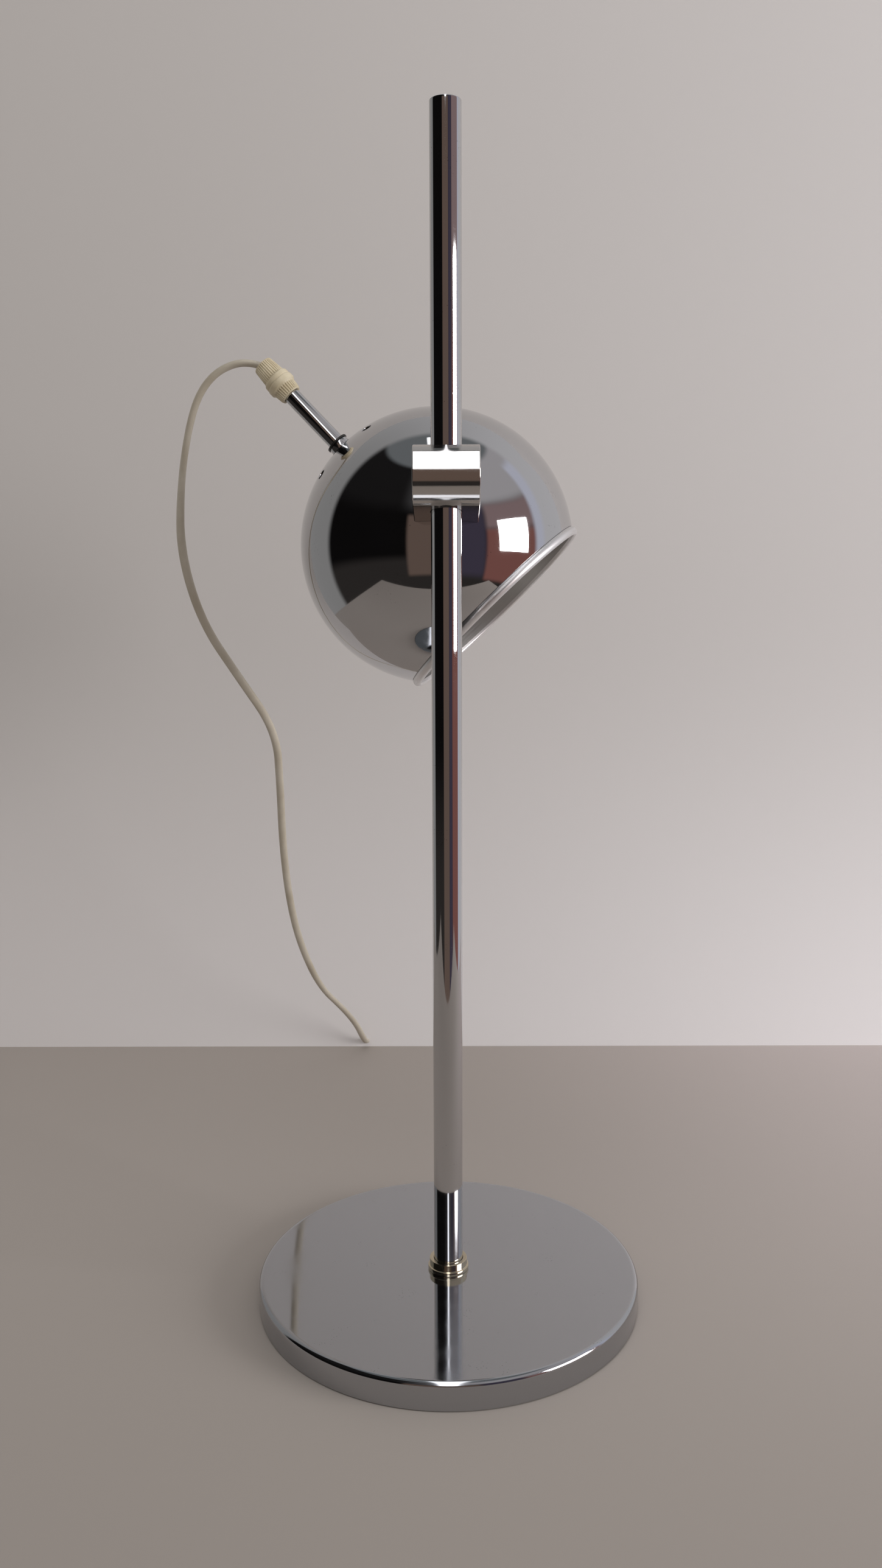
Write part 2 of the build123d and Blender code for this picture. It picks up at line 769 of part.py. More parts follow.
# Cord: chosen points from the cap's mouth down to the table and on to the switch
cord_exit = ball_centre + tube_way * cord_start
cord_route = [
    cord_exit,
    cord_exit + tube_way * cord_lead,
    Vector(-113.6, 112.5, 524.6),
    Vector(-124.6, 113.0, 524.8),
    Vector(-137.4, 114.5, 519.1),
    Vector(-147.9, 117.0, 507.0),
    Vector(-155.5, 122.0, 487.5),
    Vector(-163.0, 132.0, 458.0),
    Vector(-168.0, 146.0, 417.0),
    Vector(-160.0, 167.0, 372.0),
    Vector(-140.0, 186.0, 335.0),
    Vector(-118.0, 206.0, 296.0),
    Vector(-119.0, 227.0, 253.0),
    Vector(-121.0, 248.0, 207.0),
    Vector(-120.0, 271.0, 160.0),
    Vector(-115.0, 291.0, 120.0),
    Vector(-103.0, 316.0, 77.0),
    Vector(-86.0, 343.0, 49.0),
    Vector(-77.0, 364.0, 28.0),
    Vector(-73.0, 376.0, 13.0),
    Vector(-71.0, 386.0, 5.0),
    Vector(-69.5, 397.0, 2.9),
    Vector(-67.0, 410.0, 2.7),
]
cord_entry = Vector(switch_x - switch_length / 2 - nose_length, switch_y, switch_height / 2)
floor_route = [
    cord_route[-1],
    Vector(-61.0, 420.0, 2.9),
    Vector(-51.5, 428.0, 4.5),
    Vector(-40.0, 432.0, 7.5),
    cord_entry,
]


def middle(one, other):
    return (one + other) * 0.5


def fillet_radii(points):
    """An arc for each corner of a route, as large as its two runs allow."""
    radii = []
    for before, corner, after in zip(points, points[1:], points[2:]):
        turn = (corner - before).get_angle(after - corner)
        run = min((corner - before).length, (after - corner).length)
        radii.append(corner_share * run / tan(radians(turn / 2)))
    return radii


def cord_tube(points, radii, name):
    with BuildPart() as cord:
        with BuildLine() as path:
            FilletPolyline(*points, radius=radii)
        line = path.wires()[0]
        with BuildSketch(Plane(origin=points[0], z_dir=points[1] - points[0])):
            Circle(cord_radius)
        sweep(path=line)
    ratio = cord.part.volume / (pi * cord_radius**2 * line.length)
    print(f"{name}: length {line.length:.1f}, volume ratio {ratio:.4f}, least radius {min(radii):.1f}",
          "radii", [round(radius) for radius in radii])
    save(cord, name)
    return line.length


# The cord's stretches with their corners: each ends half way along a run of the route
whole_route = cord_route + floor_route[1:]
corner_radii = fillet_radii(whole_route)
cord_length = cord_start - tube_inner_end
start = whole_route[0]
for name, corners in (
    ("cord_at_grip", range(1, 6)),
    ("cord_upper", range(6, 9)),
    ("cord_middle", range(9, 13)),
    ("cord_lower", range(13, 22)),
    ("cord_floor", range(22, 26)),
):
    points = [whole_route[k] for k in corners]
    following = whole_route[corners.stop]
    end = following if name == "cord_floor" else middle(points[-1], following)
    radii = [corner_radii[k - 1] for k in corners]
    cord_length += cord_tube([start] + points + [end], radii, name)
    start = end

# Switch on the cord: two shells, a rocker on a pin, screws and a contact blade
switch_middle = Vector(switch_x, switch_y, 0)
parting = switch_height / 2
with BuildPart() as switch_body:
    with BuildSketch(Plane(origin=switch_middle)):
        RectangleRounded(switch_length, switch_width, switch_corner)
    extrude(amount=switch_height)
    fillet(switch_body.edges().group_by(Axis.Z)[-1], switch_edge)
    fillet(switch_body.edges().group_by(Axis.Z)[0], switch_edge)
    for way in (1, -1):
        end = switch_middle + Vector(way * (switch_length / 2 - switch_wall), 0, parting)
        tip = switch_middle + Vector(way * (switch_length / 2 + nose_length), 0, parting)
        with BuildSketch(Plane(origin=end, z_dir=(way, 0, 0))):
            Circle(nose_large_radius)
        with BuildSketch(Plane(origin=tip, z_dir=(way, 0, 0))):
            Circle(nose_small_radius)
        loft()
    with BuildSketch(Plane(origin=switch_middle + Vector(0, 0, switch_wall))):
        RectangleRounded(switch_length - 2 * switch_wall, switch_width - 2 * switch_wall,
                         switch_corner - switch_wall)
    extrude(amount=switch_height - 2 * switch_wall, mode=Mode.SUBTRACT)
    with Locations(Plane(origin=switch_middle + Vector(0, 0, switch_wall))):
        with Locations((screw_place, 0), (-screw_place, 0)):
            Cylinder(screw_boss_radius, switch_height - 2 * switch_wall,
                     align=(Align.CENTER, Align.CENTER, Align.MIN))

ear_place = rocker_width / 2 + rocker_gap
pin_height = switch_height - rocker_pin_drop
screw_end = switch_height - 2 * switch_wall
with BuildPart() as switch_upper:
    add(switch_body.part)
    split(bisect_by=Plane.XY.offset(parting), keep=Keep.TOP)
    for way in (1, -1):
        ear = Vector(0, way * (ear_place + ear_thickness / 2), switch_height - switch_wall / 2)
        with Locations(Location(switch_middle + ear)):
            Box(4 * rocker_pin_radius, ear_thickness, rocker_pin_drop + 2 * rocker_pin_radius,
                align=(Align.CENTER, Align.CENTER, Align.MAX))
    with BuildSketch(Plane(origin=switch_middle + Vector(0, 0, parting))):
        Rectangle(rocker_length + 2 * rocker_gap, rocker_width + 2 * rocker_gap)
    extrude(amount=switch_height, mode=Mode.SUBTRACT)
    with BuildSketch(Plane(origin=switch_middle + Vector(0, 0, pin_height), z_dir=(0, 1, 0))):
        Circle(rocker_pin_radius + running_gap)
    extrude(amount=ear_place + 2 * ear_thickness, both=True, mode=Mode.SUBTRACT)
    with BuildSketch(Plane(origin=switch_middle + Vector(0, 0, parting))):
        with Locations((screw_place, 0), (-screw_place, 0)):
            Circle(screw_radius + thread_gap)
    extrude(amount=screw_end - parting, mode=Mode.SUBTRACT)
    with BuildSketch(Plane(origin=switch_middle + Vector(0, 0, parting), z_dir=(1, 0, 0))):
        Circle(cord_radius + cord_gap)
    extrude(amount=switch_length, both=True, mode=Mode.SUBTRACT)
save(switch_upper, "switch_upper")

with BuildPart() as switch_lower:
    add(switch_body.part)
    split(bisect_by=Plane.XY.offset(parting), keep=Keep.BOTTOM)
    with BuildSketch(Plane(origin=switch_middle)):
        with Locations((screw_place, 0), (-screw_place, 0)):
            Circle(screw_radius + thread_gap)
    extrude(amount=switch_height, mode=Mode.SUBTRACT)
    with BuildSketch(Plane(origin=switch_middle)):
        with Locations((screw_place, 0), (-screw_place, 0)):
            Circle(screw_head_radius + thread_gap)
    extrude(amount=screw_head_height + thread_gap, mode=Mode.SUBTRACT)
    with BuildSketch(Plane(origin=switch_middle + Vector(0, 0, parting), z_dir=(1, 0, 0))):
        Circle(cord_radius + cord_gap)
    extrude(amount=switch_length, both=True, mode=Mode.SUBTRACT)
save(switch_lower, "switch_lower")

with BuildPart() as switch_screws:
    with BuildSketch(Plane(origin=switch_middle + Vector(0, 0, thread_gap))):
        with Locations((screw_place, 0), (-screw_place, 0)):
            Circle(screw_head_radius)
    extrude(amount=screw_head_height)
    with BuildSketch(Plane(origin=switch_middle + Vector(0, 0, thread_gap))):
        with Locations((screw_place, 0), (-screw_place, 0)):
            Circle(screw_radius)
    extrude(amount=screw_end - 4 * thread_gap)
save(switch_screws, "switch_screws")

with BuildPart() as rocker_pin:
    with BuildSketch(Plane(origin=switch_middle + Vector(0, 0, pin_height), z_dir=(0, 1, 0))):
        Circle(rocker_pin_radius)
    extrude(amount=ear_place + ear_thickness, both=True)
save(rocker_pin, "rocker_pin")

rocker_centre = switch_middle + Vector(0, 0, pin_height)
rocker_way = (cos(radians(rocker_tilt)), 0, sin(radians(rocker_tilt)))
rocker_plane = Plane(origin=rocker_centre, x_dir=rocker_way, z_dir=(0, -1, 0))
with BuildPart() as switch_rocker:
    with BuildSketch(rocker_plane):
        with BuildLine():
            Polyline(
                (-rocker_length / 2, rocker_pin_drop + rocker_rise),
                (-rocker_length / 2, rocker_pin_drop - rocker_depth),
                (-rocker_length / 4, rocker_pin_drop - rocker_depth - rocker_rise),
                (rocker_length / 4, rocker_pin_drop - rocker_depth - rocker_rise),
                (rocker_length / 2, rocker_pin_drop - rocker_depth),
                (rocker_length / 2, rocker_pin_drop + rocker_rise),
                (0, rocker_pin_drop + rocker_rise / 4),
                close=True,
            )
        make_face()
    extrude(amount=rocker_width / 2, both=True)
    with BuildSketch(rocker_plane):
        Circle(rocker_pin_radius + running_gap)
    extrude(amount=rocker_width, both=True, mode=Mode.SUBTRACT)
save(switch_rocker, "switch_rocker")

with BuildPart() as contact_blade:
    with BuildSketch(Plane(origin=switch_middle + Vector(0, 0, switch_wall))):
        Rectangle(blade_length, blade_width)
    extrude(amount=blade_thickness)
save(contact_blade, "contact_blade")

# Coil: half turns that spiral in, climb one layer and spiral out again as one tube
coil_step = cord_radius + coil_gap / 2
coil_low = tie_thickness + tie_gap + cord_radius
coil_high = coil_low + 2 * cord_radius + coil_gap
coil_start = Vector(coil_x, coil_y, coil_low)
lead = Vector(coil_lead, 0, 0)
coil_points = []


def note_arc(edge):
    """Keep points a millimetre apart, to measure the coil's gap to itself."""
    count = max(2, int(edge.length))
    for k in range(count):
        coil_points.append(edge.position_at(k / count))


def half_turn(start, radius, rising):
    """Half a turn about a centre above (rising) or below the start."""
    way = 1 if rising else -1
    edge = ThreePointArc(
        start,
        start + Vector(way * radius, way * radius, 0),
        start + Vector(0, 2 * way * radius, 0),
    )
    note_arc(edge)
    return start + Vector(0, 2 * way * radius, 0)


def climbing_half_turn(start, radius, climb):
    """Two arcs that share a tangent and lift the tube by one layer in half a turn."""
    finish = start + Vector(0, -2 * radius, climb)
    reach = (finish - start).length / 2
    out_one = start + Vector(-reach, 0, 0)
    out_two = finish + Vector(-reach, 0, 0)
    joint = (out_one + out_two) * 0.5
    first = TangentArc(start, joint, tangent=(-1, 0, 0))
    second = TangentArc(joint, finish, tangent=first % 1)
    note_arc(first)
    note_arc(second)
    return finish


coil_radii = [coil_radius - k * coil_step for k in range(coil_lower_half_turns)]
climb_radius = coil_radii[-1] - coil_step
with BuildPart() as cord_coil:
    with BuildLine() as coil_path:
        Line(coil_start - lead, coil_start)
        place = coil_start
        for k, radius in enumerate(coil_radii):
            place = half_turn(place, radius, k % 2 == 0)
        place = climbing_half_turn(place, climb_radius, coil_high - coil_low)
        for k in range(coil_upper_half_turns):
            place = half_turn(place, climb_radius + (k + 1) * coil_step, k % 2 == 0)
        Line(place, place - lead)
    coil_line = coil_path.wires()[0]
    with BuildSketch(Plane(origin=coil_start - lead, z_dir=(1, 0, 0))):
        Circle(cord_radius)
    sweep(path=coil_line)
coil_end = place - lead
near = 4 * cord_radius * pi
least = min(
    (one - other).length
    for k, one in enumerate(coil_points)
    for other in coil_points[k + int(near):]
)
coil_ratio = cord_coil.part.volume / (pi * cord_radius**2 * coil_line.length)
print(f"cord_coil: length {coil_line.length:.1f}, volume ratio {coil_ratio:.4f},",
      f"least gap to itself {least - 2 * cord_radius:.2f}, least radius {climb_radius:.2f}")
save(cord_coil, "cord_coil")

cord_exit_switch = Vector(switch_x + switch_length / 2 + nose_length, switch_y, parting)
link_points = [
    cord_exit_switch,
    cord_exit_switch + Vector(link_lead, 0, 0),
    coil_start - lead - Vector(link_lead, 0, 0),
    coil_start - lead,
]
plug_entry = Vector(plug_x, plug_y, plug_height / 2)
tail_points = [
    coil_end,
    coil_end - Vector(link_lead, 0, 0),
    plug_entry + Vector(plug_lead, 0, 0),
    plug_entry,
]
cord_length += coil_line.length + switch_length + 2 * nose_length
cord_length += cord_tube(link_points, fillet_radii(link_points), "cord_link")
cord_length += cord_tube(tail_points, fillet_radii(tail_points), "cord_tail")
print(f"cord length in all, through the switch: {cord_length:.0f}")

bundle_reach = tie_width / 2 + coil_step
bundle_inner = coil_x + ball_height(coil_radii[-1], bundle_reach) - cord_radius - tie_gap
bundle_outer = coil_x + coil_radius + cord_radius + tie_gap
bundle_height = coil_high + cord_radius + tie_gap - tie_thickness
tie_middle = Vector((bundle_inner + bundle_outer) / 2, coil_y + coil_radius + coil_step,
                    tie_thickness + bundle_height / 2)
with BuildPart() as coil_tie:
    with BuildSketch(Plane(origin=tie_middle, x_dir=(1, 0, 0), z_dir=(0, -1, 0))):
        RectangleRounded(bundle_outer - bundle_inner + 2 * tie_thickness,
                         bundle_height + 2 * tie_thickness, cord_radius)
        RectangleRounded(bundle_outer - bundle_inner, bundle_height, cord_radius - tie_thickness,
                         mode=Mode.SUBTRACT)
    extrude(amount=tie_width / 2, both=True)
save(coil_tie, "coil_tie")

# Plug: a flat body with a tapered relief, and two round pins
relief_end = plug_entry - Vector(relief_length, 0, 0)
neck_end = relief_end - Vector(plug_neck_length, 0, 0)
plug_face = neck_end - Vector(plug_length, 0, 0)
with BuildPart() as plug_body:
    with BuildSketch(Plane(origin=plug_entry, x_dir=(0, 1, 0), z_dir=(-1, 0, 0))):
        Circle(relief_small_radius)
    with BuildSketch(Plane(origin=relief_end, x_dir=(0, 1, 0), z_dir=(-1, 0, 0))):
        Circle(relief_large_radius)
    loft()
    with BuildSketch(Plane(origin=relief_end, x_dir=(0, 1, 0), z_dir=(-1, 0, 0))):
        RectangleRounded(plug_neck_width, 2 * relief_large_radius, relief_large_radius - plug_flat / 2)
    with BuildSketch(Plane(origin=neck_end, x_dir=(0, 1, 0), z_dir=(-1, 0, 0))):
        RectangleRounded(plug_width, plug_height, (plug_height - plug_flat) / 2)
    loft()
    with BuildSketch(Plane(origin=neck_end, x_dir=(0, 1, 0), z_dir=(-1, 0, 0))):
        RectangleRounded(plug_width, plug_height, (plug_height - plug_flat) / 2)
    extrude(amount=plug_length)
    with BuildSketch(Plane(origin=plug_face, x_dir=(0, 1, 0), z_dir=(-1, 0, 0))):
        with GridLocations(pin_spacing, 0, 2, 1):
            Circle(pin_radius + running_gap)
    extrude(amount=-pin_root, mode=Mode.SUBTRACT)
save(plug_body, "plug_body")

pin_foot = plug_face + Vector(pin_root - running_gap, 0, 0)
with BuildPart() as plug_pins:
    with BuildSketch(Plane(origin=pin_foot, x_dir=(0, 1, 0), z_dir=(-1, 0, 0))):
        with GridLocations(pin_spacing, 0, 2, 1):
            Circle(pin_radius)
    extrude(amount=pin_root - running_gap + pin_length)
    fillet(plug_pins.edges().filter_by(GeomType.CIRCLE).group_by(Axis.X)[0], pin_radius * 0.8)
save(plug_pins, "plug_pins")
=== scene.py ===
import bmesh
import bpy
import json
from math import atan2, cos, hypot, pi, radians, sin, sqrt
from mathutils import Matrix, Vector


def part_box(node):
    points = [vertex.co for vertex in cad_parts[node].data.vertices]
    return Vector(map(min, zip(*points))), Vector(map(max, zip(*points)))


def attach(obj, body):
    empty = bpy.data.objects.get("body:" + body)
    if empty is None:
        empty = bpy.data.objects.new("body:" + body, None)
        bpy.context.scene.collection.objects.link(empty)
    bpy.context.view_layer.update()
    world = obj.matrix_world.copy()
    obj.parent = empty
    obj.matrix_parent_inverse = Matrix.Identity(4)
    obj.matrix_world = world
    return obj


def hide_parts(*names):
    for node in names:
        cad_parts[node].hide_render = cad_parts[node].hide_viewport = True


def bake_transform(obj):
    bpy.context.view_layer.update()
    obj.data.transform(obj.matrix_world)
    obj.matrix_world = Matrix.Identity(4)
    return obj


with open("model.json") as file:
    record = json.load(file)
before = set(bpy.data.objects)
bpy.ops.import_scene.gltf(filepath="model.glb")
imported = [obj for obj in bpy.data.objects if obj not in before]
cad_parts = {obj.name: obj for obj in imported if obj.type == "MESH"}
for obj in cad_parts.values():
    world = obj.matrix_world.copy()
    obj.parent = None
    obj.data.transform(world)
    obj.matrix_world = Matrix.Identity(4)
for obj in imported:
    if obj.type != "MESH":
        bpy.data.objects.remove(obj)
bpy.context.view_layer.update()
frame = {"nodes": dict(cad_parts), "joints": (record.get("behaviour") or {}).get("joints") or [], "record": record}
joints = {joint["name"]: joint for joint in frame["joints"]}
mm = 0.001
upWay = Vector((0, 0, 1))

# the ball's place and the way that its mouth looks; the tube leaves on the other side
ballCentre = Vector(joints["ball_tilt"]["pos_m"])
mouthAzimuth = radians(-8.5)
mouthElevation = radians(-45.8)
mouthWay = Vector((
    cos(mouthElevation) * cos(mouthAzimuth),
    cos(mouthElevation) * sin(mouthAzimuth),
    sin(mouthElevation),
))
tubeWay = -mouthWay

camera = {
    "place": (-0.00049, -0.65345, 0.38863),
    "lens": 28.65,
    "sensor": 36,
    "lookDown": 8.603,
    "turnLeft": 0.240,
    "roll": -0.199,
}


def addCamera():
    bpy.ops.object.camera_add()
    shot = bpy.context.object
    shot.name = "photoCamera"
    shot.data.lens = camera["lens"]
    shot.data.sensor_width = camera["sensor"]
    shot.data.clip_start = 0.01
    shot.matrix_world = (
        Matrix.Translation(camera["place"])
        @ Matrix.Rotation(radians(camera["turnLeft"]), 4, "Z")
        @ Matrix.Rotation(radians(90 - camera["lookDown"]), 4, "X")
        @ Matrix.Rotation(radians(camera["roll"]), 4, "Z")
    )
    bpy.context.scene.camera = shot


addCamera()
print("camera in place")


# node helpers: a socket is given a value or another node's output
def feed(tree, socket, value):
    if isinstance(value, bpy.types.NodeSocket):
        tree.links.new(value, socket)
    else:
        socket.default_value = value


def addNode(tree, kind, inputs=None, **settings):
    node = tree.nodes.new("ShaderNode" + kind)
    for name, value in settings.items():
        setattr(node, name, value)
    for name, value in (inputs or {}).items():
        feed(tree, node.inputs[name], value)
    return node


def calc(tree, operation, *values):
    return addNode(tree, "Math", dict(enumerate(values)), operation=operation).outputs[0]


def mixTones(tree, share, first, second):
    return addNode(tree, "Mix", {0: share, 6: first, 7: second}, data_type="RGBA").outputs[2]


def rise(tree, value, low, high):
    ends = {"Value": value, "From Min": low, "From Max": high}
    return addNode(tree, "MapRange", ends, interpolation_type="SMOOTHSTEP").outputs[0]


# a tone as it is seen, from 11 to 255, as linear light
def tone(red, green, blue):
    return (*(((c / 255 + 0.055) / 1.055) ** 2.4 for c in (red, green, blue)), 1)


# what the chrome sees round it: a pale wall behind, a dim room in front, brighter at the right; the wall's
# edges are parts of a unit way, and the others are in degrees
surroundings = {
    "wallLeft": (0.29, 0.285, 0.28, 1),
    "wallRight": (0.58, 0.57, 0.58, 1),
    "room": (0.005, 0.0045, 0.0045, 1),
    "roomFloor": (0.032, 0.028, 0.026, 1),
    "ceilingLeft": (0.012, 0.011, 0.011, 1),
    "ceilingRight": (0.44, 0.42, 0.43, 1),
    "fill": (0.80, 0.79, 0.78, 1),
    "fillStrength": 0.60,
    "seen": tone(214, 211, 208),
    "floorEdge": (-6, -14),
    "ceilingEdge": (22, 36),
    "ceilingAcross": (-35, 30),
    "wallEdge": (0.12, 0.24),
    "wallAcross": (-0.9, 0.9),
}
# each patch of the room: its tone, then in degrees its azimuth from and to, elevation from and to, softness
patches = [
    ((0.15, 0.105, 0.085, 1), -24, 18, -24, 23, 2),
    ((0.06, 0.05, 0.075, 1), 18, 42, -24, 30, 4),
    ((0.24, 0.10, 0.085, 1), 42, 92, -26, 12, 2),
    ((0.27, 0.19, 0.19, 1), 42, 92, 12, 30, 3),
    ((0.58, 0.59, 0.68, 1), 90, 108, -70, 50, 3),
    ((0.17, 0.18, 0.185, 1), -180, 180, 62, 120, 2),
]
# a strip of light overhead that runs from front to back: half its width, its ends in degrees, its tone
strip = {"half": 0.085, "soft": 0.01, "from": 21, "to": 96, "tone": (3.0, 3.0, 3.1, 1)}


def makeWorld():
    world = bpy.data.worlds.new("softStudio")
    bpy.context.scene.world = world
    world.use_nodes = True
    tree = world.node_tree
    tree.nodes.clear()
    way = addNode(tree, "SeparateXYZ", {0: addNode(tree, "TexCoord").outputs["Generated"]})
    x, y, z = way.outputs
    turn = 180 / pi
    azimuth = calc(tree, "MULTIPLY", calc(tree, "ARCTAN2", x, calc(tree, "MULTIPLY", y, -1.0)), turn)
    elevation = calc(tree, "MULTIPLY", calc(tree, "ARCSINE", z), turn)
    onFloor = rise(tree, elevation, *surroundings["floorEdge"])
    room = mixTones(tree, onFloor, surroundings["room"], surroundings["roomFloor"])
    toRight = rise(tree, azimuth, *surroundings["ceilingAcross"])
    ceiling = mixTones(tree, toRight, surroundings["ceilingLeft"], surroundings["ceilingRight"])
    room = mixTones(tree, rise(tree, elevation, *surroundings["ceilingEdge"]), room, ceiling)
    for patchTone, left, right, low, high, soft in patches:
        across = calc(tree, "MULTIPLY", rise(tree, azimuth, left - soft, left + soft),
                      rise(tree, azimuth, right + soft, right - soft))
        upwards = calc(tree, "MULTIPLY", rise(tree, elevation, low - soft, low + soft),
                       rise(tree, elevation, high + soft, high - soft))
        room = mixTones(tree, calc(tree, "MULTIPLY", across, upwards), room, patchTone)
    toRight = rise(tree, x, *surroundings["wallAcross"])
    wall = mixTones(tree, toRight, surroundings["wallLeft"], surroundings["wallRight"])
    glossy = mixTones(tree, rise(tree, y, *surroundings["wallEdge"]), room, wall)
    over = calc(tree, "MULTIPLY", calc(tree, "ARCTAN2", z, calc(tree, "MULTIPLY", y, -1.0)), turn)
    half, soft = strip["half"], strip["soft"]
    inStrip = rise(tree, calc(tree, "ABSOLUTE", x), half + soft, half - soft)
    for edge, onward in ((strip["from"], 1), (strip["to"], -1)):
        inStrip = calc(tree, "MULTIPLY", inStrip, rise(tree, over, edge - onward, edge + onward))
    glossy = mixTones(tree, inStrip, glossy, strip["tone"])
    rays = addNode(tree, "LightPath")
    fill, shiny, seen = (addNode(tree, "Background", inputs).outputs[0] for inputs in (
        {"Color": surroundings["fill"], "Strength": surroundings["fillStrength"]},
        {"Color": glossy}, {"Color": surroundings["seen"]}))
    mirrored = calc(tree, "MAXIMUM", rays.outputs["Is Glossy Ray"], rays.outputs["Is Transmission Ray"])
    unseen = addNode(tree, "MixShader", {0: mirrored, 1: fill, 2: shiny}).outputs[0]
    whole = addNode(tree, "MixShader", {0: rays.outputs["Is Camera Ray"], 1: unseen, 2: seen}).outputs[0]
    addNode(tree, "OutputWorld", {0: whole})


# painted light on the stage: the floor is painted darker at the front, lighter towards the back and lighter still
# in a patch at the back right, and the wall is painted lighter towards the right and towards its foot; the floor's
# tones change at places in metres, and the wall's at shares of its size, both from the middle
stageForm = {
    "floorShadedFront": tone(157, 149, 143),
    "floorLitBack": tone(170, 162, 156),
    "floorPaintedLight": tone(198, 188, 186),
    "wallTop": (tone(197, 192, 189), tone(211, 207, 207)),
    "wallLitFoot": (tone(218, 213, 212), tone(238, 235, 237)),
    "floorBackEdge": (-0.45, 0.15),
    "floorPaintedLightEdges": ((-0.1, 0.5), (-0.35, 0.35)),
    "wallAcross": (-0.6, 0.7),
    "wallFootEdge": (-0.05, -0.5),
    "floorSize": 7.0,
    "table": (-0.68, 0.62, -0.52),
    "wallY": 0.388,
    "wallWidth": 0.94,
    "wallHeight": 0.90,
}
plainShine = {"Roughness": 0.95, "Specular IOR Level": 0.1}


def plainLook(name):
    look = bpy.data.materials.new(name)
    look.use_nodes = True
    shader = look.node_tree.nodes["Principled BSDF"]
    for socketName, value in plainShine.items():
        shader.inputs[socketName].default_value = value
    place = addNode(look.node_tree, "SeparateXYZ", {0: addNode(look.node_tree, "TexCoord").outputs["Object"]})
    return look, look.node_tree, shader, place.outputs


# the shader where the share is 0, and nothing at all where it is 1
def openWhere(tree, shader, share):
    clear = addNode(tree, "BsdfTransparent").outputs[0]
    both = addNode(tree, "MixShader", {0: share, 1: shader.outputs[0], 2: clear})
    tree.links.new(both.outputs[0], tree.nodes["Material Output"].inputs[0])


def makeStage():
    look, tree, shader, place = plainLook("paleFloor")
    # painted light and shade in the floor's colour: darker at the front, lighter towards the back, and a painted
    # pool of light at the back right
    shadeToLight = rise(tree, place["Y"], *stageForm["floorBackEdge"])
    back = mixTones(tree, shadeToLight, stageForm["floorShadedFront"], stageForm["floorLitBack"])
    acrossEdge, backEdge = stageForm["floorPaintedLightEdges"]
    paintedLight = calc(tree, "MULTIPLY", rise(tree, place["X"], *acrossEdge), rise(tree, place["Y"], *backEdge))
    tree.links.new(mixTones(tree, paintedLight, back, stageForm["floorPaintedLight"]), shader.inputs["Base Color"])
    left, right, front = stageForm["table"]
    beyond = calc(tree, "LESS_THAN", place["Y"], front)
    for share in (calc(tree, "LESS_THAN", place["X"], left), calc(tree, "GREATER_THAN", place["X"], right)):
        beyond = calc(tree, "MAXIMUM", beyond, share)
    mirrored = addNode(tree, "LightPath").outputs["Is Glossy Ray"]
    openWhere(tree, shader, calc(tree, "MULTIPLY", mirrored, beyond))
    bpy.ops.mesh.primitive_plane_add(size=stageForm["floorSize"])
    floor = bpy.context.object
    floor.name = "floor"
    floor.data.materials.append(look)

    look, tree, shader, place = plainLook("paleWall")
    # painted light in the wall's colour: lighter towards the right and towards its foot
    across = rise(tree, place["X"], *stageForm["wallAcross"])
    top, foot = (mixTones(tree, across, *stageForm[name]) for name in ("wallTop", "wallLitFoot"))
    down = rise(tree, place["Y"], *stageForm["wallFootEdge"])
    tree.links.new(mixTones(tree, down, top, foot), shader.inputs["Base Color"])
    openWhere(tree, shader, addNode(tree, "NewGeometry").outputs["Backfacing"])
    bpy.ops.mesh.primitive_plane_add(size=1, rotation=(radians(90), 0, 0),
                                     location=(0, stageForm["wallY"], stageForm["wallHeight"] / 2))
    wall = bpy.context.object
    wall.name = "backdrop"
    wall.scale = (stageForm["wallWidth"], stageForm["wallHeight"], 1)
    wall.data.materials.append(look)


lamps = {
    "window": {"azimuth": 67, "elevation": 10, "distance": 2.2, "size": (1.1, 0.85), "watts": 29,
               "tone": (1.0, 0.985, 0.98), "mirrored": True},
    "overhead": {"azimuth": -20, "elevation": 66, "distance": 2.0, "size": (1.4, 1.4), "watts": 7,
                 "tone": (1.0, 0.985, 0.96), "mirrored": False},
}
lampAim = Vector((0, 0.05, 0.3))


def addLamps():
    for name, lamp in lamps.items():
        azimuth, elevation = radians(lamp["azimuth"]), radians(lamp["elevation"])
        way = Vector((sin(azimuth) * cos(elevation), -cos(azimuth) * cos(elevation), sin(elevation)))
        bpy.ops.object.light_add(type="AREA", location=lampAim + way * lamp["distance"])
        light = bpy.context.object
        light.name = name + "Lamp"
        light.rotation_euler = way.to_track_quat("Z", "Y").to_euler()
        light.data.shape = "RECTANGLE"
        light.data.size, light.data.size_y = lamp["size"]
        light.data.energy = lamp["watts"]
        light.data.color = lamp["tone"]
        light.visible_camera = False
        light.visible_glossy = lamp["mirrored"]


makeWorld()
makeStage()
addLamps()
print("world, stage and lamps made")


# effects that several finishes share
def newGroup(name, inputs, outputs):
    group = bpy.data.node_groups.new(name, "ShaderNodeTree")
    for socketName, kind, value in inputs:
        socket = group.interface.new_socket(socketName, in_out="INPUT", socket_type="NodeSocket" + kind)
        if value is not None:
            socket.default_value = value
    for socketName, kind in outputs:
        group.interface.new_socket(socketName, in_out="OUTPUT", socket_type="NodeSocket" + kind)
    return group, group.nodes.new("NodeGroupInput").outputs, group.nodes.new("NodeGroupOutput").inputs


def spread(tree, value, low, high, fromLow=0.3, fromHigh=0.7):
    ends = {"Value": value, "From Min": fromLow, "From Max": fromHigh, "To Min": low, "To Max": high}
    return addNode(tree, "MapRange", ends).outputs[0]


def noise(tree, coords, scale, detail, roughness=0.5):
    values = {"Vector": coords, "Scale": scale, "Detail": detail, "Roughness": roughness}
    return addNode(tree, "TexNoise", values).outputs[0]


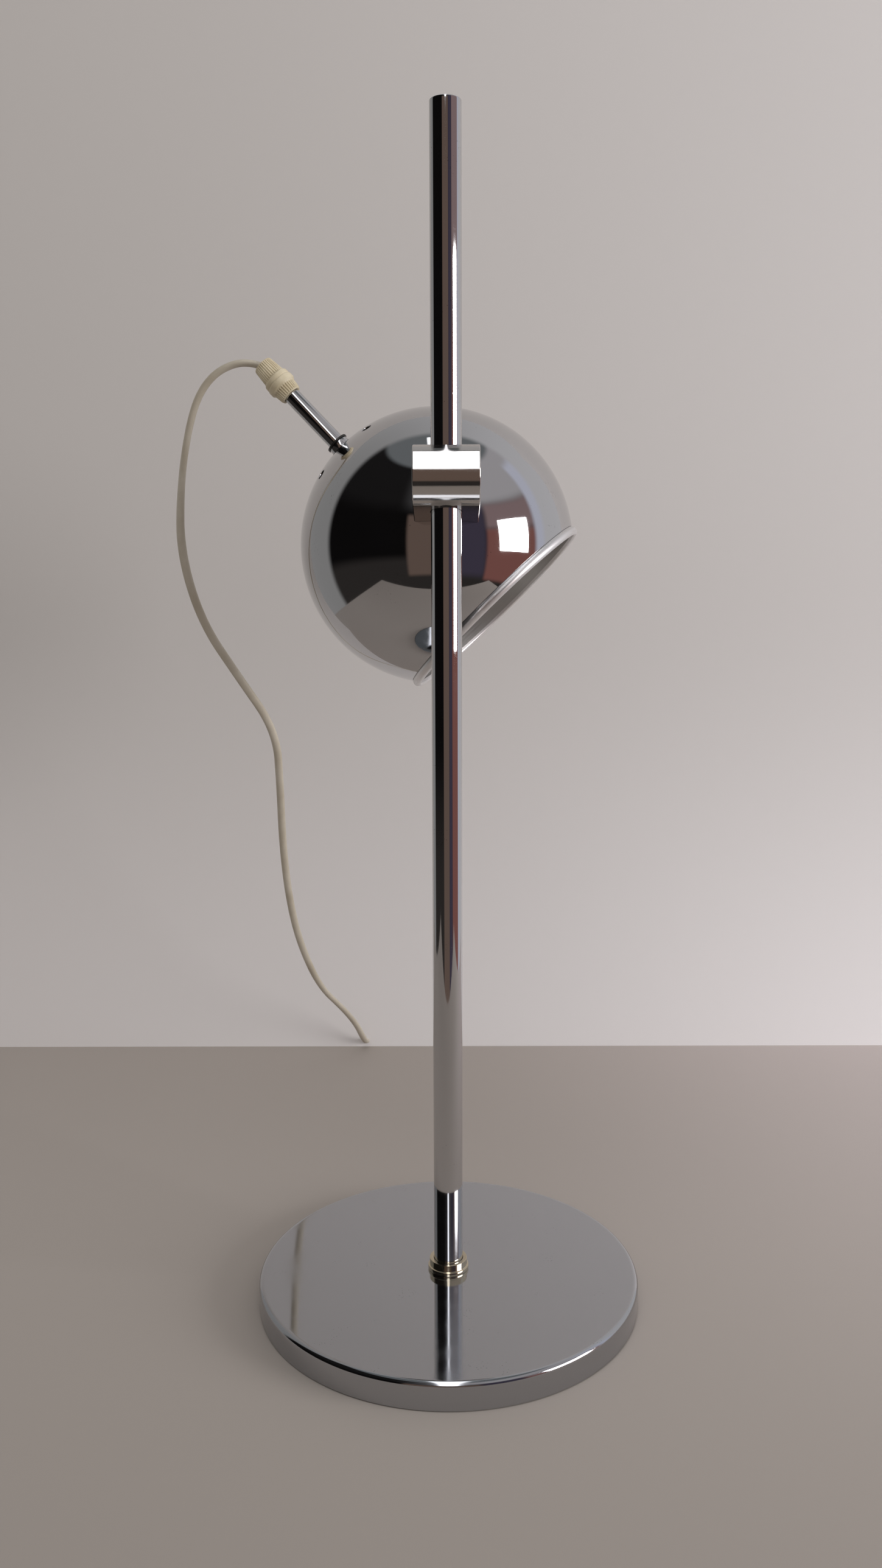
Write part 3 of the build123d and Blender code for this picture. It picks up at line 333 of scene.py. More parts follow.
# the three outputs of a group of fine lines, whose coordinates are already drawn out along them
def finishLines(tree, given, result, coords, shadeScale):
    lines = noise(tree, coords, given["Density"], 4.0)
    tree.links.new(spread(tree, lines, given["Smooth"], given["Hazy"]), result["Roughness"])
    tree.links.new(lines, result["Height"])
    tree.links.new(noise(tree, coords, shadeScale, 2.0), result["Shade"])


# cloudy handling marks, and sparse pits in the plate
marksForm = {"cloudEdge": (0.38, 0.72), "fieldScale": 60.0, "fieldEdge": (0.60, 0.68),
             "pitEdge": (0.20, 0.08)}
polishMarks, given, result = newGroup(
    "polishMarks",
    [("Vector", "Vector", None), ("Cloud Scale", "Float", 18), ("Pit Scale", "Float", 700),
     ("Smooth", "Float", 0.03), ("Hazy", "Float", 0.10)],
    [("Roughness", "Float"), ("Pits", "Float")],
)
clouds = noise(polishMarks, given["Vector"], given["Cloud Scale"], 6.0, 0.62)
haze = spread(polishMarks, clouds, given["Smooth"], given["Hazy"], *marksForm["cloudEdge"])
polishMarks.links.new(haze, result["Roughness"])
spots = addNode(polishMarks, "TexVoronoi", {"Vector": given["Vector"], "Scale": given["Pit Scale"]})
where = noise(polishMarks, given["Vector"], marksForm["fieldScale"], 3.0)
pits = calc(polishMarks, "MULTIPLY", rise(polishMarks, spots.outputs[0], *marksForm["pitEdge"]),
            rise(polishMarks, where, *marksForm["fieldEdge"]))
polishMarks.links.new(pits, result["Pits"])

lineOutputs = [("Roughness", "Float"), ("Height", "Float"), ("Shade", "Float")]

# hair lines that run along X
brushedLines, given, result = newGroup(
    "brushedLines",
    [("Vector", "Vector", None), ("Density", "Float", 900), ("Smooth", "Float", 0.25),
     ("Hazy", "Float", 0.45)],
    lineOutputs,
)
drawnOut = (0.03, 1, 1)
drawn = addNode(brushedLines, "VectorMath", {0: given["Vector"], 1: drawnOut}, operation="MULTIPLY")
finishLines(brushedLines, given, result, drawn.outputs[0], 240.0)

# turning lines round Z
spunLines, given, result = newGroup(
    "spunLines",
    [("Vector", "Vector", None), ("Density", "Float", 1500), ("Smooth", "Float", 0.2),
     ("Hazy", "Float", 0.4)],
    lineOutputs,
)
swirlShare = 0.0006
parts = addNode(spunLines, "SeparateXYZ", {0: given["Vector"]}).outputs
away = calc(spunLines, "SQRT", calc(spunLines, "ADD", calc(spunLines, "POWER", parts["X"], 2.0),
                                    calc(spunLines, "POWER", parts["Y"], 2.0)))
swirl = calc(spunLines, "MULTIPLY", calc(spunLines, "ARCTAN2", parts["Y"], parts["X"]), swirlShare)
flat = addNode(spunLines, "CombineXYZ", {0: away, 1: parts["Z"], 2: swirl}).outputs[0]
finishLines(spunLines, given, result, flat, 300.0)

# two tones in soft clouds, with a fine grain
mottleEdge = (0.32, 0.70)
mottle, given, result = newGroup(
    "mottle",
    [("Vector", "Vector", None), ("Cloud Scale", "Float", 60), ("Grain Scale", "Float", 1800),
     ("Light", "Color", None), ("Dark", "Color", None), ("Smooth", "Float", 0.35), ("Rough", "Float", 0.55)],
    [("Color", "Color"), ("Roughness", "Float"), ("Height", "Float")],
)
clouds = noise(mottle, given["Vector"], given["Cloud Scale"], 5.0)
grain = noise(mottle, given["Vector"], given["Grain Scale"], 2.0)
share = spread(mottle, clouds, 0.0, 1.0, *mottleEdge)
mottle.links.new(mixTones(mottle, share, given["Light"], given["Dark"]), result["Color"])
mottle.links.new(spread(mottle, grain, given["Smooth"], given["Rough"]), result["Roughness"])
mottle.links.new(grain, result["Height"])


def newLook(name, **values):
    look = bpy.data.materials.new(name)
    look.use_nodes = True
    tree = look.node_tree
    shader = tree.nodes["Principled BSDF"]
    for socketName, value in values.items():
        shader.inputs[socketName.replace("_", " ")].default_value = value
    return look, tree, shader, addNode(tree, "TexCoord").outputs["Object"]


def useGroup(tree, group, values):
    return addNode(tree, "Group", values, node_tree=group).outputs


def roughen(tree, shader, height, depth, strength):
    bump = addNode(tree, "Bump", {"Height": height, "Distance": depth, "Strength": strength})
    tree.links.new(bump.outputs[0], shader.inputs["Normal"])


# coordinates with the mouth's axis as Z and the ball's centre as origin
def roundMouth(tree, coords):
    turn = mouthWay.to_track_quat("Z", "Y").to_matrix().inverted()
    shift = -(turn @ ballCentre)
    mapping = addNode(tree, "Mapping", {"Vector": coords, "Location": shift, "Rotation": turn.to_euler()})
    return mapping.outputs[0]


# the ball is plated outside only: within this distance of its centre it is bare, dark and rough
bareInside = {"radius": 0.0796, "tone": (0.03, 0.028, 0.026, 1), "roughness": 0.6}
pitForm = {"tone": 0.35, "depth": -0.00002}


def chromeLook(name, plate, smooth, hazy, cloudScale=18.0, platedInside=True):
    look, tree, shader, coords = newLook(name, Metallic=1.0)
    marks = useGroup(tree, polishMarks, {"Vector": coords, "Cloud Scale": cloudScale,
                                         "Smooth": smooth, "Hazy": hazy})
    pitted = tuple(c * pitForm["tone"] for c in plate[:3]) + (1,)
    colour, roughness = mixTones(tree, marks["Pits"], plate, pitted), marks["Roughness"]
    if not platedInside:
        away = addNode(tree, "VectorMath", {0: coords, 1: ballCentre}, operation="DISTANCE").outputs["Value"]
        bare = calc(tree, "LESS_THAN", away, bareInside["radius"])
        colour = mixTones(tree, bare, colour, bareInside["tone"])
        roughness = calc(tree, "MAXIMUM", roughness, calc(tree, "MULTIPLY", bare, bareInside["roughness"]))
    tree.links.new(colour, shader.inputs["Base Color"])
    tree.links.new(roughness, shader.inputs["Roughness"])
    roughen(tree, shader, marks["Pits"], pitForm["depth"], 0.4)
    return look


lineDepth = 0.000012


# metal with fine lines: spun ones go round the mouth
def linedLook(name, group, light, dark, smooth, hazy, density, strength):
    look, tree, shader, coords = newLook(name, Metallic=1.0)
    if group == spunLines:
        coords = roundMouth(tree, coords)
    lines = useGroup(tree, group, {"Vector": coords, "Density": density, "Smooth": smooth, "Hazy": hazy})
    tree.links.new(mixTones(tree, lines["Shade"], light, dark), shader.inputs["Base Color"])
    tree.links.new(lines["Roughness"], shader.inputs["Roughness"])
    roughen(tree, shader, lines["Height"], lineDepth, strength)
    return look


def mottledLook(name, light, dark, smooth, rough, cloudScale=60.0, grainScale=1800.0, depth=0.00002,
                **values):
    look, tree, shader, coords = newLook(name, **values)
    grain = useGroup(tree, mottle, {"Vector": coords, "Cloud Scale": cloudScale, "Grain Scale": grainScale,
                                    "Light": light, "Dark": dark, "Smooth": smooth, "Rough": rough})
    tree.links.new(grain["Color"], shader.inputs["Base Color"])
    tree.links.new(grain["Roughness"], shader.inputs["Roughness"])
    roughen(tree, shader, grain["Height"], depth, 0.5)
    return look


looks = {
    "chrome": chromeLook("polishedChrome", (0.58, 0.58, 0.59, 1), 0.025, 0.075),
    "warm_nickel": chromeLook("warmNickel", (0.60, 0.53, 0.40, 1), 0.10, 0.20, 90.0),
    "satin_steel": linedLook("satinSlider", brushedLines, (0.63, 0.61, 0.59, 1), (0.56, 0.54, 0.52, 1),
                             0.07, 0.16, 900.0, 0.5),
    "satin_aluminium": linedLook("spunAluminium", spunLines, (0.86, 0.85, 0.85, 1), (0.70, 0.69, 0.69, 1),
                                 0.34, 0.50, 1500.0, 0.6),
    "dark_steel": mottledLook("blackedSteel", (0.10, 0.095, 0.09, 1), (0.05, 0.048, 0.045, 1), 0.3, 0.5,
                              Metallic=0.8),
    "zinc_steel": mottledLook("zincSteel", (0.52, 0.53, 0.55, 1), (0.42, 0.43, 0.45, 1), 0.25, 0.45,
                              Metallic=1.0),
    "magnet_grey": mottledLook("ferrite", (0.09, 0.09, 0.095, 1), (0.05, 0.05, 0.055, 1), 0.4, 0.6,
                               Metallic=0.4),
    "cast_iron": mottledLook("castIron", (0.09, 0.085, 0.08, 1), (0.05, 0.045, 0.04, 1), 0.6, 0.85,
                             grainScale=500.0, depth=0.0002, Metallic=0.7),
    "felt": mottledLook("feltPad", (0.045, 0.055, 0.045, 1), (0.02, 0.028, 0.022, 1), 0.9, 1.0,
                        grainScale=900.0, depth=0.0004),
    "black_nylon": mottledLook("blackNylon", (0.02, 0.02, 0.02, 1), (0.012, 0.012, 0.012, 1), 0.4, 0.55),
    "black_plastic": mottledLook("darkPhenolic", (0.022, 0.018, 0.016, 1), (0.012, 0.010, 0.009, 1),
                                 0.25, 0.4),
    "porcelain": mottledLook("porcelain", (0.72, 0.69, 0.63, 1), (0.66, 0.62, 0.55, 1), 0.12, 0.2),
    "brass": mottledLook("bareBrass", (0.62, 0.44, 0.20, 1), (0.45, 0.30, 0.13, 1), 0.2, 0.4, Metallic=1.0),
    "bulb_metal": mottledLook("bulbCapMetal", (0.62, 0.55, 0.38, 1), (0.5, 0.43, 0.28, 1), 0.2, 0.35,
                              Metallic=1.0),
    "frosted_glass": mottledLook("frostedGlass", (0.90, 0.89, 0.86, 1), (0.86, 0.85, 0.81, 1), 0.38, 0.5,
                                 Transmission_Weight=0.35, IOR=1.45),
    "ivory_plastic": mottledLook("agedIvory", (0.69, 0.61, 0.45, 1), (0.55, 0.465, 0.315, 1), 0.38, 0.52,
                                 cloudScale=140.0, depth=0.00003),
    "ivory_flex": mottledLook("ivorySheath", (0.56, 0.51, 0.43, 1), (0.45, 0.395, 0.31, 1), 0.34, 0.48,
                              cloudScale=45.0, grainScale=900.0),
    "rubber_sleeve": mottledLook("softRubber", (0.03, 0.028, 0.026, 1), (0.018, 0.016, 0.015, 1),
                                 0.6, 0.8),
    "brown_wire": mottledLook("brownCore", (0.12, 0.055, 0.025, 1), (0.09, 0.04, 0.018, 1), 0.35, 0.5),
    "blue_wire": mottledLook("blueCore", (0.03, 0.07, 0.25, 1), (0.02, 0.05, 0.19, 1), 0.35, 0.5),
    "tie_plastic": mottledLook("blackTie", (0.025, 0.025, 0.025, 1), (0.014, 0.014, 0.014, 1), 0.4, 0.6),
}
baseLook = chromeLook("handledChrome", (0.47, 0.48, 0.50, 1), 0.045, 0.13, 30.0)
ballLook = chromeLook("ballChrome", (0.56, 0.56, 0.57, 1), 0.025, 0.075, platedInside=False)
reflectorLook = linedLook("reflectorBowl", spunLines, (0.60, 0.59, 0.57, 1), (0.46, 0.45, 0.44, 1),
                          0.30, 0.50, 900.0, 0.6)
for subpart in frame["record"]["subparts"]:
    mesh = frame["nodes"][subpart["node"]].data
    mesh.materials.clear()
    mesh.materials.append(looks[subpart["material_slot"]])
print("materials made")


# modelling helpers
def onlyPick(piece):
    bpy.ops.object.select_all(action="DESELECT")
    piece.select_set(True)
    bpy.context.view_layer.objects.active = piece


def pickVertices(piece, test):
    bpy.ops.mesh.select_mode(type="VERT")
    bpy.ops.mesh.select_all(action="DESELECT")
    mesh = bmesh.from_edit_mesh(piece.data)
    for vertex in mesh.verts:
        vertex.select = test(vertex.co)
    mesh.select_flush_mode()
    bmesh.update_edit_mesh(piece.data)


# a turned piece: a ring is pulled along Z and resized to follow its outline, given as (radius, height);
# the outline closes on itself, or else its two ends are capped
def turned(name, outline, sides, capped=False):
    bpy.ops.object.select_all(action="DESELECT")
    bpy.ops.mesh.primitive_circle_add(vertices=sides, radius=outline[0][0], location=(0, 0, outline[0][1]))
    piece = bpy.context.object
    piece.name = piece.data.name = name
    bpy.ops.object.mode_set(mode="EDIT")
    bpy.ops.mesh.select_all(action="SELECT")
    for (lastRadius, lastHeight), (radius, height) in zip(outline, outline[1:]):
        bpy.ops.mesh.extrude_edges_move(TRANSFORM_OT_translate={"value": (0, 0, height - lastHeight)})
        grow = radius / lastRadius
        bpy.ops.transform.resize(value=(grow, grow, 1), center_override=(0, 0, height))
    if capped:
        bpy.ops.mesh.select_all(action="SELECT")
        bpy.ops.mesh.fill_holes(sides=0)
    else:
        bpy.ops.mesh.select_mode(type="EDGE")
        bpy.ops.mesh.select_all(action="DESELECT")
        bpy.ops.mesh.select_non_manifold()
        bpy.ops.mesh.bridge_edge_loops()
    bpy.ops.mesh.select_all(action="SELECT")
    bpy.ops.mesh.normals_make_consistent(inside=False)
    bpy.ops.object.mode_set(mode="OBJECT")
    return piece


# points of the arc through three points of an outline
def arcThrough(first, middle, last, steps):
    (ax, ay), (bx, by), (cx, cy) = first, middle, last
    d = 2 * (ax * (by - cy) + bx * (cy - ay) + cx * (ay - by))
    squares = [x * x + y * y for x, y in (first, middle, last)]
    ox = (squares[0] * (by - cy) + squares[1] * (cy - ay) + squares[2] * (ay - by)) / d
    oy = (squares[0] * (cx - bx) + squares[1] * (ax - cx) + squares[2] * (bx - ax)) / d
    radius = hypot(ax - ox, ay - oy)
    start, through, end = (atan2(y - oy, x - ox) for x, y in (first, middle, last))
    sweep = (end - start) % (2 * pi)
    if (through - start) % (2 * pi) > sweep:
        sweep -= 2 * pi
    angles = [start + sweep * k / steps for k in range(steps + 1)]
    return [(ox + radius * cos(a), oy + radius * sin(a)) for a in angles]


cornerForm = {"steps": 3, "flat": 175, "reach": 0.45}


def roundCorners(outline, radius):
    made = []
    steps = cornerForm["steps"]
    for k, corner in enumerate(outline):
        before, after = Vector(outline[k - 1]), Vector(outline[(k + 1) % len(outline)])
        here = Vector(corner)
        back, ahead = before - here, after - here
        turn = back.angle(ahead)
        if turn > radians(cornerForm["flat"]):
            made.append(corner)
            continue
        cut = min(radius * cos(turn / 2) / sin(turn / 2), back.length * cornerForm["reach"],
                  ahead.length * cornerForm["reach"])
        first, last = here + back.normalized() * cut, here + ahead.normalized() * cut
        for step in range(steps + 1):
            t = step / steps
            made.append(tuple(first * (1 - t) ** 2 + here * 2 * t * (1 - t) + last * t * t))
    return made


def scaled(outline):
    return [(radius * mm, height * mm) for radius, height in outline]


# moves a piece that was made round Z to the origin given, with its Z along the way
def placeAlong(piece, origin, way):
    side = way.cross(upWay).normalized() if abs(way.z) < 0.999 else Vector((1, 0, 0))
    axes = Matrix((side, way.cross(side), way)).transposed().to_4x4()
    piece.matrix_world = Matrix.Translation(origin) @ axes @ piece.matrix_world
    onlyPick(piece)
    bpy.ops.object.transform_apply(location=True, rotation=True, scale=True)


def applyModifier(piece, kind, **settings):
    onlyPick(piece)
    modifier = piece.modifiers.new(kind.lower(), kind)
    for name, value in settings.items():
        setattr(modifier, name, value)
    bpy.ops.object.modifier_apply(modifier=modifier.name)


def cutAway(piece, cutter):
    applyModifier(piece, "BOOLEAN", operation="DIFFERENCE", solver="EXACT", object=cutter)
    bpy.data.objects.remove(cutter)


def finishPiece(piece, slot, body, node, look=None, angle=30):
    onlyPick(piece)
    bpy.ops.object.transform_apply(location=True, rotation=True, scale=True)
    piece.data.materials.clear()
    piece.data.materials.append(look or looks[slot])
    bpy.ops.object.shade_smooth_by_angle(angle=radians(angle))
    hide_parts(node)
    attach(piece, body)


root = "base_and_pole"
tiny = 0.01 * mm
baseForm = {"sides": 256, "edge": 3.0, "edgeSteps": 10, "wall": 1.2, "rim": 0.5, "boltHole": 4.3}


def makeBaseCover():
    low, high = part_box("base_cover")
    radius = (high.x - low.x) / 2
    bpy.ops.object.select_all(action="DESELECT")
    bpy.ops.mesh.primitive_cylinder_add(vertices=baseForm["sides"], radius=radius, depth=high.z - low.z,
                                        location=(0, 0, (high.z + low.z) / 2))
    piece = bpy.context.object
    piece.name = "baseCover"
    half = (high.z - low.z) / 2
    bpy.ops.object.mode_set(mode="EDIT")
    pickVertices(piece, lambda co: co.z < 0)
    bpy.ops.mesh.delete(type="ONLY_FACE")
    pickVertices(piece, lambda co: co.z > half - tiny)
    bpy.ops.mesh.select_mode(type="EDGE")
    bpy.ops.mesh.region_to_loop()
    bpy.ops.mesh.bevel(offset=baseForm["edge"] * mm, segments=baseForm["edgeSteps"], profile=0.5)
    topRadius = radius - baseForm["edge"] * mm
    pickVertices(piece, lambda co: co.z > half - tiny and hypot(co.x, co.y) < topRadius + tiny)
    bpy.ops.mesh.select_mode(type="FACE")
    bpy.ops.mesh.inset(thickness=baseForm["rim"] * mm)
    bpy.ops.mesh.inset(thickness=topRadius - (baseForm["rim"] + baseForm["boltHole"]) * mm)
    bpy.ops.mesh.delete(type="FACE")
    bpy.ops.object.mode_set(mode="OBJECT")
    applyModifier(piece, "SOLIDIFY", thickness=baseForm["wall"] * mm, offset=-1, use_even_offset=True)
    finishPiece(piece, "chrome", root, "base_cover", baseLook)


# the cap's inner and flat parts are shares of the bore and of the pole's radius
poleForm = {"sides": 128, "bore": 6.5, "capRound": 0.5, "capSteps": 6, "capPlay": 0.05, "capInner": 0.6,
            "capFlat": 0.7}
collarForm = {
    "sides": 128,
    "outline": [(8.1, 0), (11.3, 0), (11.3, 2.2), (10.45, 2.35), (10.45, 6.2), (8.1, 6.2)],
    "round": 0.45,
}


def makePole():
    low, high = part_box("pole_tube")
    radius = high.x
    bore = poleForm["bore"] * mm
    outline = [(radius, low.z), (radius, high.z), (bore, high.z), (bore, low.z)]
    tube = turned("poleTube", outline, poleForm["sides"])
    finishPiece(tube, "chrome", root, "pole_tube")

    capLow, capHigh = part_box("pole_cap")
    edge = poleForm["capRound"] * mm
    halfWay = edge * (1 - sqrt(0.5))
    corner = arcThrough((radius, capHigh.z - edge), (radius - halfWay, capHigh.z - halfWay),
                        (radius - edge, capHigh.z), poleForm["capSteps"])
    plug = bore - poleForm["capPlay"] * mm
    outline = [(plug * poleForm["capInner"], capLow.z), (plug, capLow.z), (plug, high.z), (radius, high.z)]
    outline += corner + [(radius * poleForm["capFlat"], capHigh.z)]
    cap = turned("poleCap", outline, poleForm["sides"], capped=True)
    finishPiece(cap, "chrome", root, "pole_cap")

    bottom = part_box("pole_collar")[0].z / mm
    outline = [(r, bottom + h) for r, h in roundCorners(collarForm["outline"], collarForm["round"])]
    collar = turned("poleCollar", scaled(outline), collarForm["sides"])
    finishPiece(collar, "warm_nickel", root, "pole_collar")


ballForm = {
    "radius": 80.0, "wall": 1.0, "segments": 192, "rings": 128, "mouthHeight": 47.1, "tubeHole": 5.1,
    "vents": 6, "ventRadius": 3.0, "ventAngle": 26.7, "ventStart": 33.8, "ventSides": 48, "ventDepth": 12.0,
}
sliderForm = {
    "length": 34.0, "radius": 15.4, "forward": 7.5, "drop": 1.4, "sides": 192, "edge": 0.5, "edgeSteps": 3,
    "padStart": 22.36, "padHalf": 15.0, "padOverlap": 5.0, "seatGap": 0.25, "flatWithin": 0.5,
    "seatSegments": 256, "seatRings": 128, "holeSides": 96,
    "bore": [(8.3, -40), (8.3, -10.25), (9.55, -10.25), (9.55, 40)],
    "cupHole": [(7.25, 14.2), (7.25, 15.4), (12.25, 15.4), (12.25, 40)],
}


# a bar with a round front whose sides run back to a pad that hugs the ball
def makeSlider():
    form = sliderForm
    middle = Vector(joints["slider_swivel"]["pos_m"])
    seatWay = (ballCentre - middle).normalized()
    bpy.ops.object.select_all(action="DESELECT")
    bpy.ops.mesh.primitive_cylinder_add(
        vertices=form["sides"], radius=form["radius"] * mm, depth=form["length"] * mm,
        rotation=(0, radians(90), 0), location=(0, -form["forward"] * mm, middle.z - form["drop"] * mm))
    piece = bpy.context.object
    piece.name = "sliderBody"
    bpy.ops.object.transform_apply(location=True, rotation=True, scale=True)
    bpy.ops.object.mode_set(mode="EDIT")
    way = Vector((0, seatWay.y, seatWay.z)).normalized()
    padMiddle = middle + way * (form["padStart"] + form["padOverlap"] / 2) * mm
    bpy.ops.mesh.primitive_cube_add(
        size=1, location=padMiddle, rotation=(atan2(way.z, way.y), 0, 0),
        scale=(form["length"] * mm, form["padOverlap"] * mm, 2 * form["padHalf"] * mm))
    bpy.ops.mesh.select_all(action="SELECT")
    bpy.ops.mesh.convex_hull(join_triangles=False)
    bpy.ops.mesh.dissolve_limited(angle_limit=radians(form["flatWithin"]))
    mesh = bmesh.from_edit_mesh(piece.data)
    bpy.ops.mesh.select_mode(type="FACE")
    bpy.ops.mesh.select_all(action="DESELECT")
    for face in mesh.faces:
        face.select = abs(face.normal.x) > 0.99
    bmesh.update_edit_mesh(piece.data)
    bpy.ops.mesh.region_to_loop()
    bpy.ops.mesh.bevel(offset=form["edge"] * mm, segments=form["edgeSteps"], profile=0.5)
    bpy.ops.object.mode_set(mode="OBJECT")
    bpy.ops.object.select_all(action="DESELECT")
    bpy.ops.mesh.primitive_uv_sphere_add(
        segments=form["seatSegments"], ring_count=form["seatRings"], location=ballCentre,
        radius=(ballForm["radius"] + form["seatGap"]) * mm)
    cutAway(piece, bpy.context.object)
    for name, outline, aim in (("poleBore", form["bore"], upWay), ("cupHole", form["cupHole"], seatWay)):
        cutter = turned(name, scaled(outline), form["holeSides"], capped=True)
        placeAlong(cutter, middle, aim)
        cutAway(piece, cutter)
    finishPiece(piece, "satin_steel", "slider", "slider_housing")
    # large faces alone set the normals, so the narrow bevel doesn't bend the mirrored tones beside it
    applyModifier(piece, "WEIGHTED_NORMAL", keep_sharp=True, weight=100)


makeBaseCover()
makePole()
makeSlider()
print("base, pole and slider made")


def ballHeight(radius, distance):
    return sqrt(radius ** 2 - distance ** 2)


def makeBallShell():
    radius = ballForm["radius"]
    bpy.ops.object.select_all(action="DESELECT")
    bpy.ops.mesh.primitive_uv_sphere_add(segments=ballForm["segments"], ring_count=ballForm["rings"],
                                         radius=radius * mm)
    piece = bpy.context.object
    piece.name = "ballShell"
    bpy.ops.object.mode_set(mode="EDIT")
    bpy.ops.mesh.select_all(action="SELECT")
    bpy.ops.mesh.bisect(plane_co=(0, 0, -ballForm["mouthHeight"] * mm), plane_no=(0, 0, -1), clear_outer=True)
    bpy.ops.mesh.select_all(action="SELECT")
    bpy.ops.mesh.bisect(plane_co=(0, 0, ballHeight(radius, ballForm["tubeHole"]) * mm), plane_no=(0, 0, 1),
                        clear_outer=True)
    bpy.ops.object.mode_set(mode="OBJECT")
    applyModifier(piece, "SOLIDIFY", thickness=ballForm["wall"] * mm, offset=-1, use_even_offset=True)
    reach = radius * sin(radians(ballForm["ventAngle"]))
    for k in range(ballForm["vents"]):
        angle = radians(ballForm["ventStart"] + 360 * k / ballForm["vents"])
        place = (reach * mm * cos(angle), reach * mm * sin(angle), ballHeight(radius, reach) * mm)
        bpy.ops.mesh.primitive_cylinder_add(
            vertices=ballForm["ventSides"], radius=ballForm["ventRadius"] * mm,
            depth=ballForm["ventDepth"] * mm, location=place)
        cutAway(piece, bpy.context.object)
    placeAlong(piece, ballCentre, tubeWay)
    finishPiece(piece, "chrome", "ball", "ball_shell", ballLook, angle=40)


# the lip's roll is given as distances out from the sleeve's bore and down from the ring's top
ringForm = {
    "sides": 256, "joint": 0.25, "band": (65.516, 2.4), "lip": (63.216, 5.1), "steps": 14, "wall": 1.2,
    "sleeve": 9.0, "gap": 0.25, "roll": [(0.9, 0.15), (0.4, 0.4), (0.1, 0.8), (0, 1.2)],
}
sleeveOuter = ballHeight(ballForm["radius"] - ballForm["wall"], ballForm["mouthHeight"]) - ringForm["gap"]
sleeveBore = sleeveOuter - ringForm["wall"]
ringTop = ballForm["mouthHeight"] + ringForm["lip"][1]
ringBase = ballForm["mouthHeight"] + ringForm["joint"]


def makeMouthRing():
    foot = (ballHeight(ballForm["radius"], ballForm["mouthHeight"]), ringBase)
    band = (ringForm["band"][0], ballForm["mouthHeight"] + ringForm["band"][1])
    lip = (ringForm["lip"][0], ringTop)
    outline = arcThrough(foot, band, lip, ringForm["steps"])
    outline += [(sleeveBore + across, ringTop - down) for across, down in ringForm["roll"]]
    outline += [(sleeveBore, ringBase - ringForm["sleeve"]), (sleeveOuter, ringBase - ringForm["sleeve"]),
                (sleeveOuter, ringBase)]
    piece = turned("mouthRing", scaled(outline), ringForm["sides"])
    placeAlong(piece, ballCentre, mouthWay)
    finishPiece(piece, "satin_aluminium", "ball", "mouth_ring")


bowlForm = {"sides": 192, "wall": 0.8, "play": 0.05, "seatRadius": 20.0, "seatHeight": -31.6,
            "middle": (49.0, -3.0), "collarHole": 13.75, "steps": 28}


def makeReflector():
    wall = bowlForm["wall"]
    rim = sleeveBore - bowlForm["play"]
    start = ringBase - ringForm["sleeve"]
    front = ringTop - 2 * ringForm["wall"]
    middle = bowlForm["middle"]
    seat, height = bowlForm["seatRadius"], bowlForm["seatHeight"]
    outline = [(rim, front)] + arcThrough((rim, start), middle, (seat, height), bowlForm["steps"])
    outline += [(bowlForm["collarHole"], height), (bowlForm["collarHole"], height + wall)]
    outline += arcThrough((seat - wall / 2, height + wall), (middle[0] - wall / 2, middle[1] + wall / 2),
                          (rim - wall, start), bowlForm["steps"])
    outline += [(rim - wall, front)]
    piece = turned("innerReflector", scaled(outline), bowlForm["sides"])
    placeAlong(piece, ballCentre, mouthWay)
    finishPiece(piece, "satin_aluminium", "ball", "inner_reflector", reflectorLook)


tubeForm = {"sides": 96, "radius": 5.0, "bore": 3.5, "inner": 58.0, "outer": 134.0, "round": 0.2, "gap": 0.1,
            "play": 0.05}
collarRing = {"radius": 6.3, "length": 4.5, "round": 0.5}
thinWasher = {"radius": 6.9, "length": 1.2, "round": 0.3}


def ringAlong(name, start, length, radius, bore, rounding, slot, node):
    end = start + length
    outline = roundCorners([(bore, start), (radius, start), (radius, end), (bore, end)], rounding)
    piece = turned(name, scaled(outline), tubeForm["sides"])
    placeAlong(piece, ballCentre, tubeWay)
    finishPiece(piece, slot, "ball", node)


def makeTube():
    ringAlong("handleTube", tubeForm["inner"], tubeForm["outer"] - tubeForm["inner"], tubeForm["radius"],
              tubeForm["bore"], tubeForm["round"], "chrome", "handle_tube")
    start = ballHeight(ballForm["radius"], tubeForm["radius"]) + tubeForm["play"]
    bore = tubeForm["radius"] + tubeForm["gap"]
    ringAlong("tubeCollar", start, collarRing["length"], collarRing["radius"], bore, collarRing["round"],
              "chrome", "tube_collar")
    ringAlong("tubeWasher", start + collarRing["length"], thinWasher["length"], thinWasher["radius"], bore,
              thinWasher["round"], "dark_steel", "tube_washer")


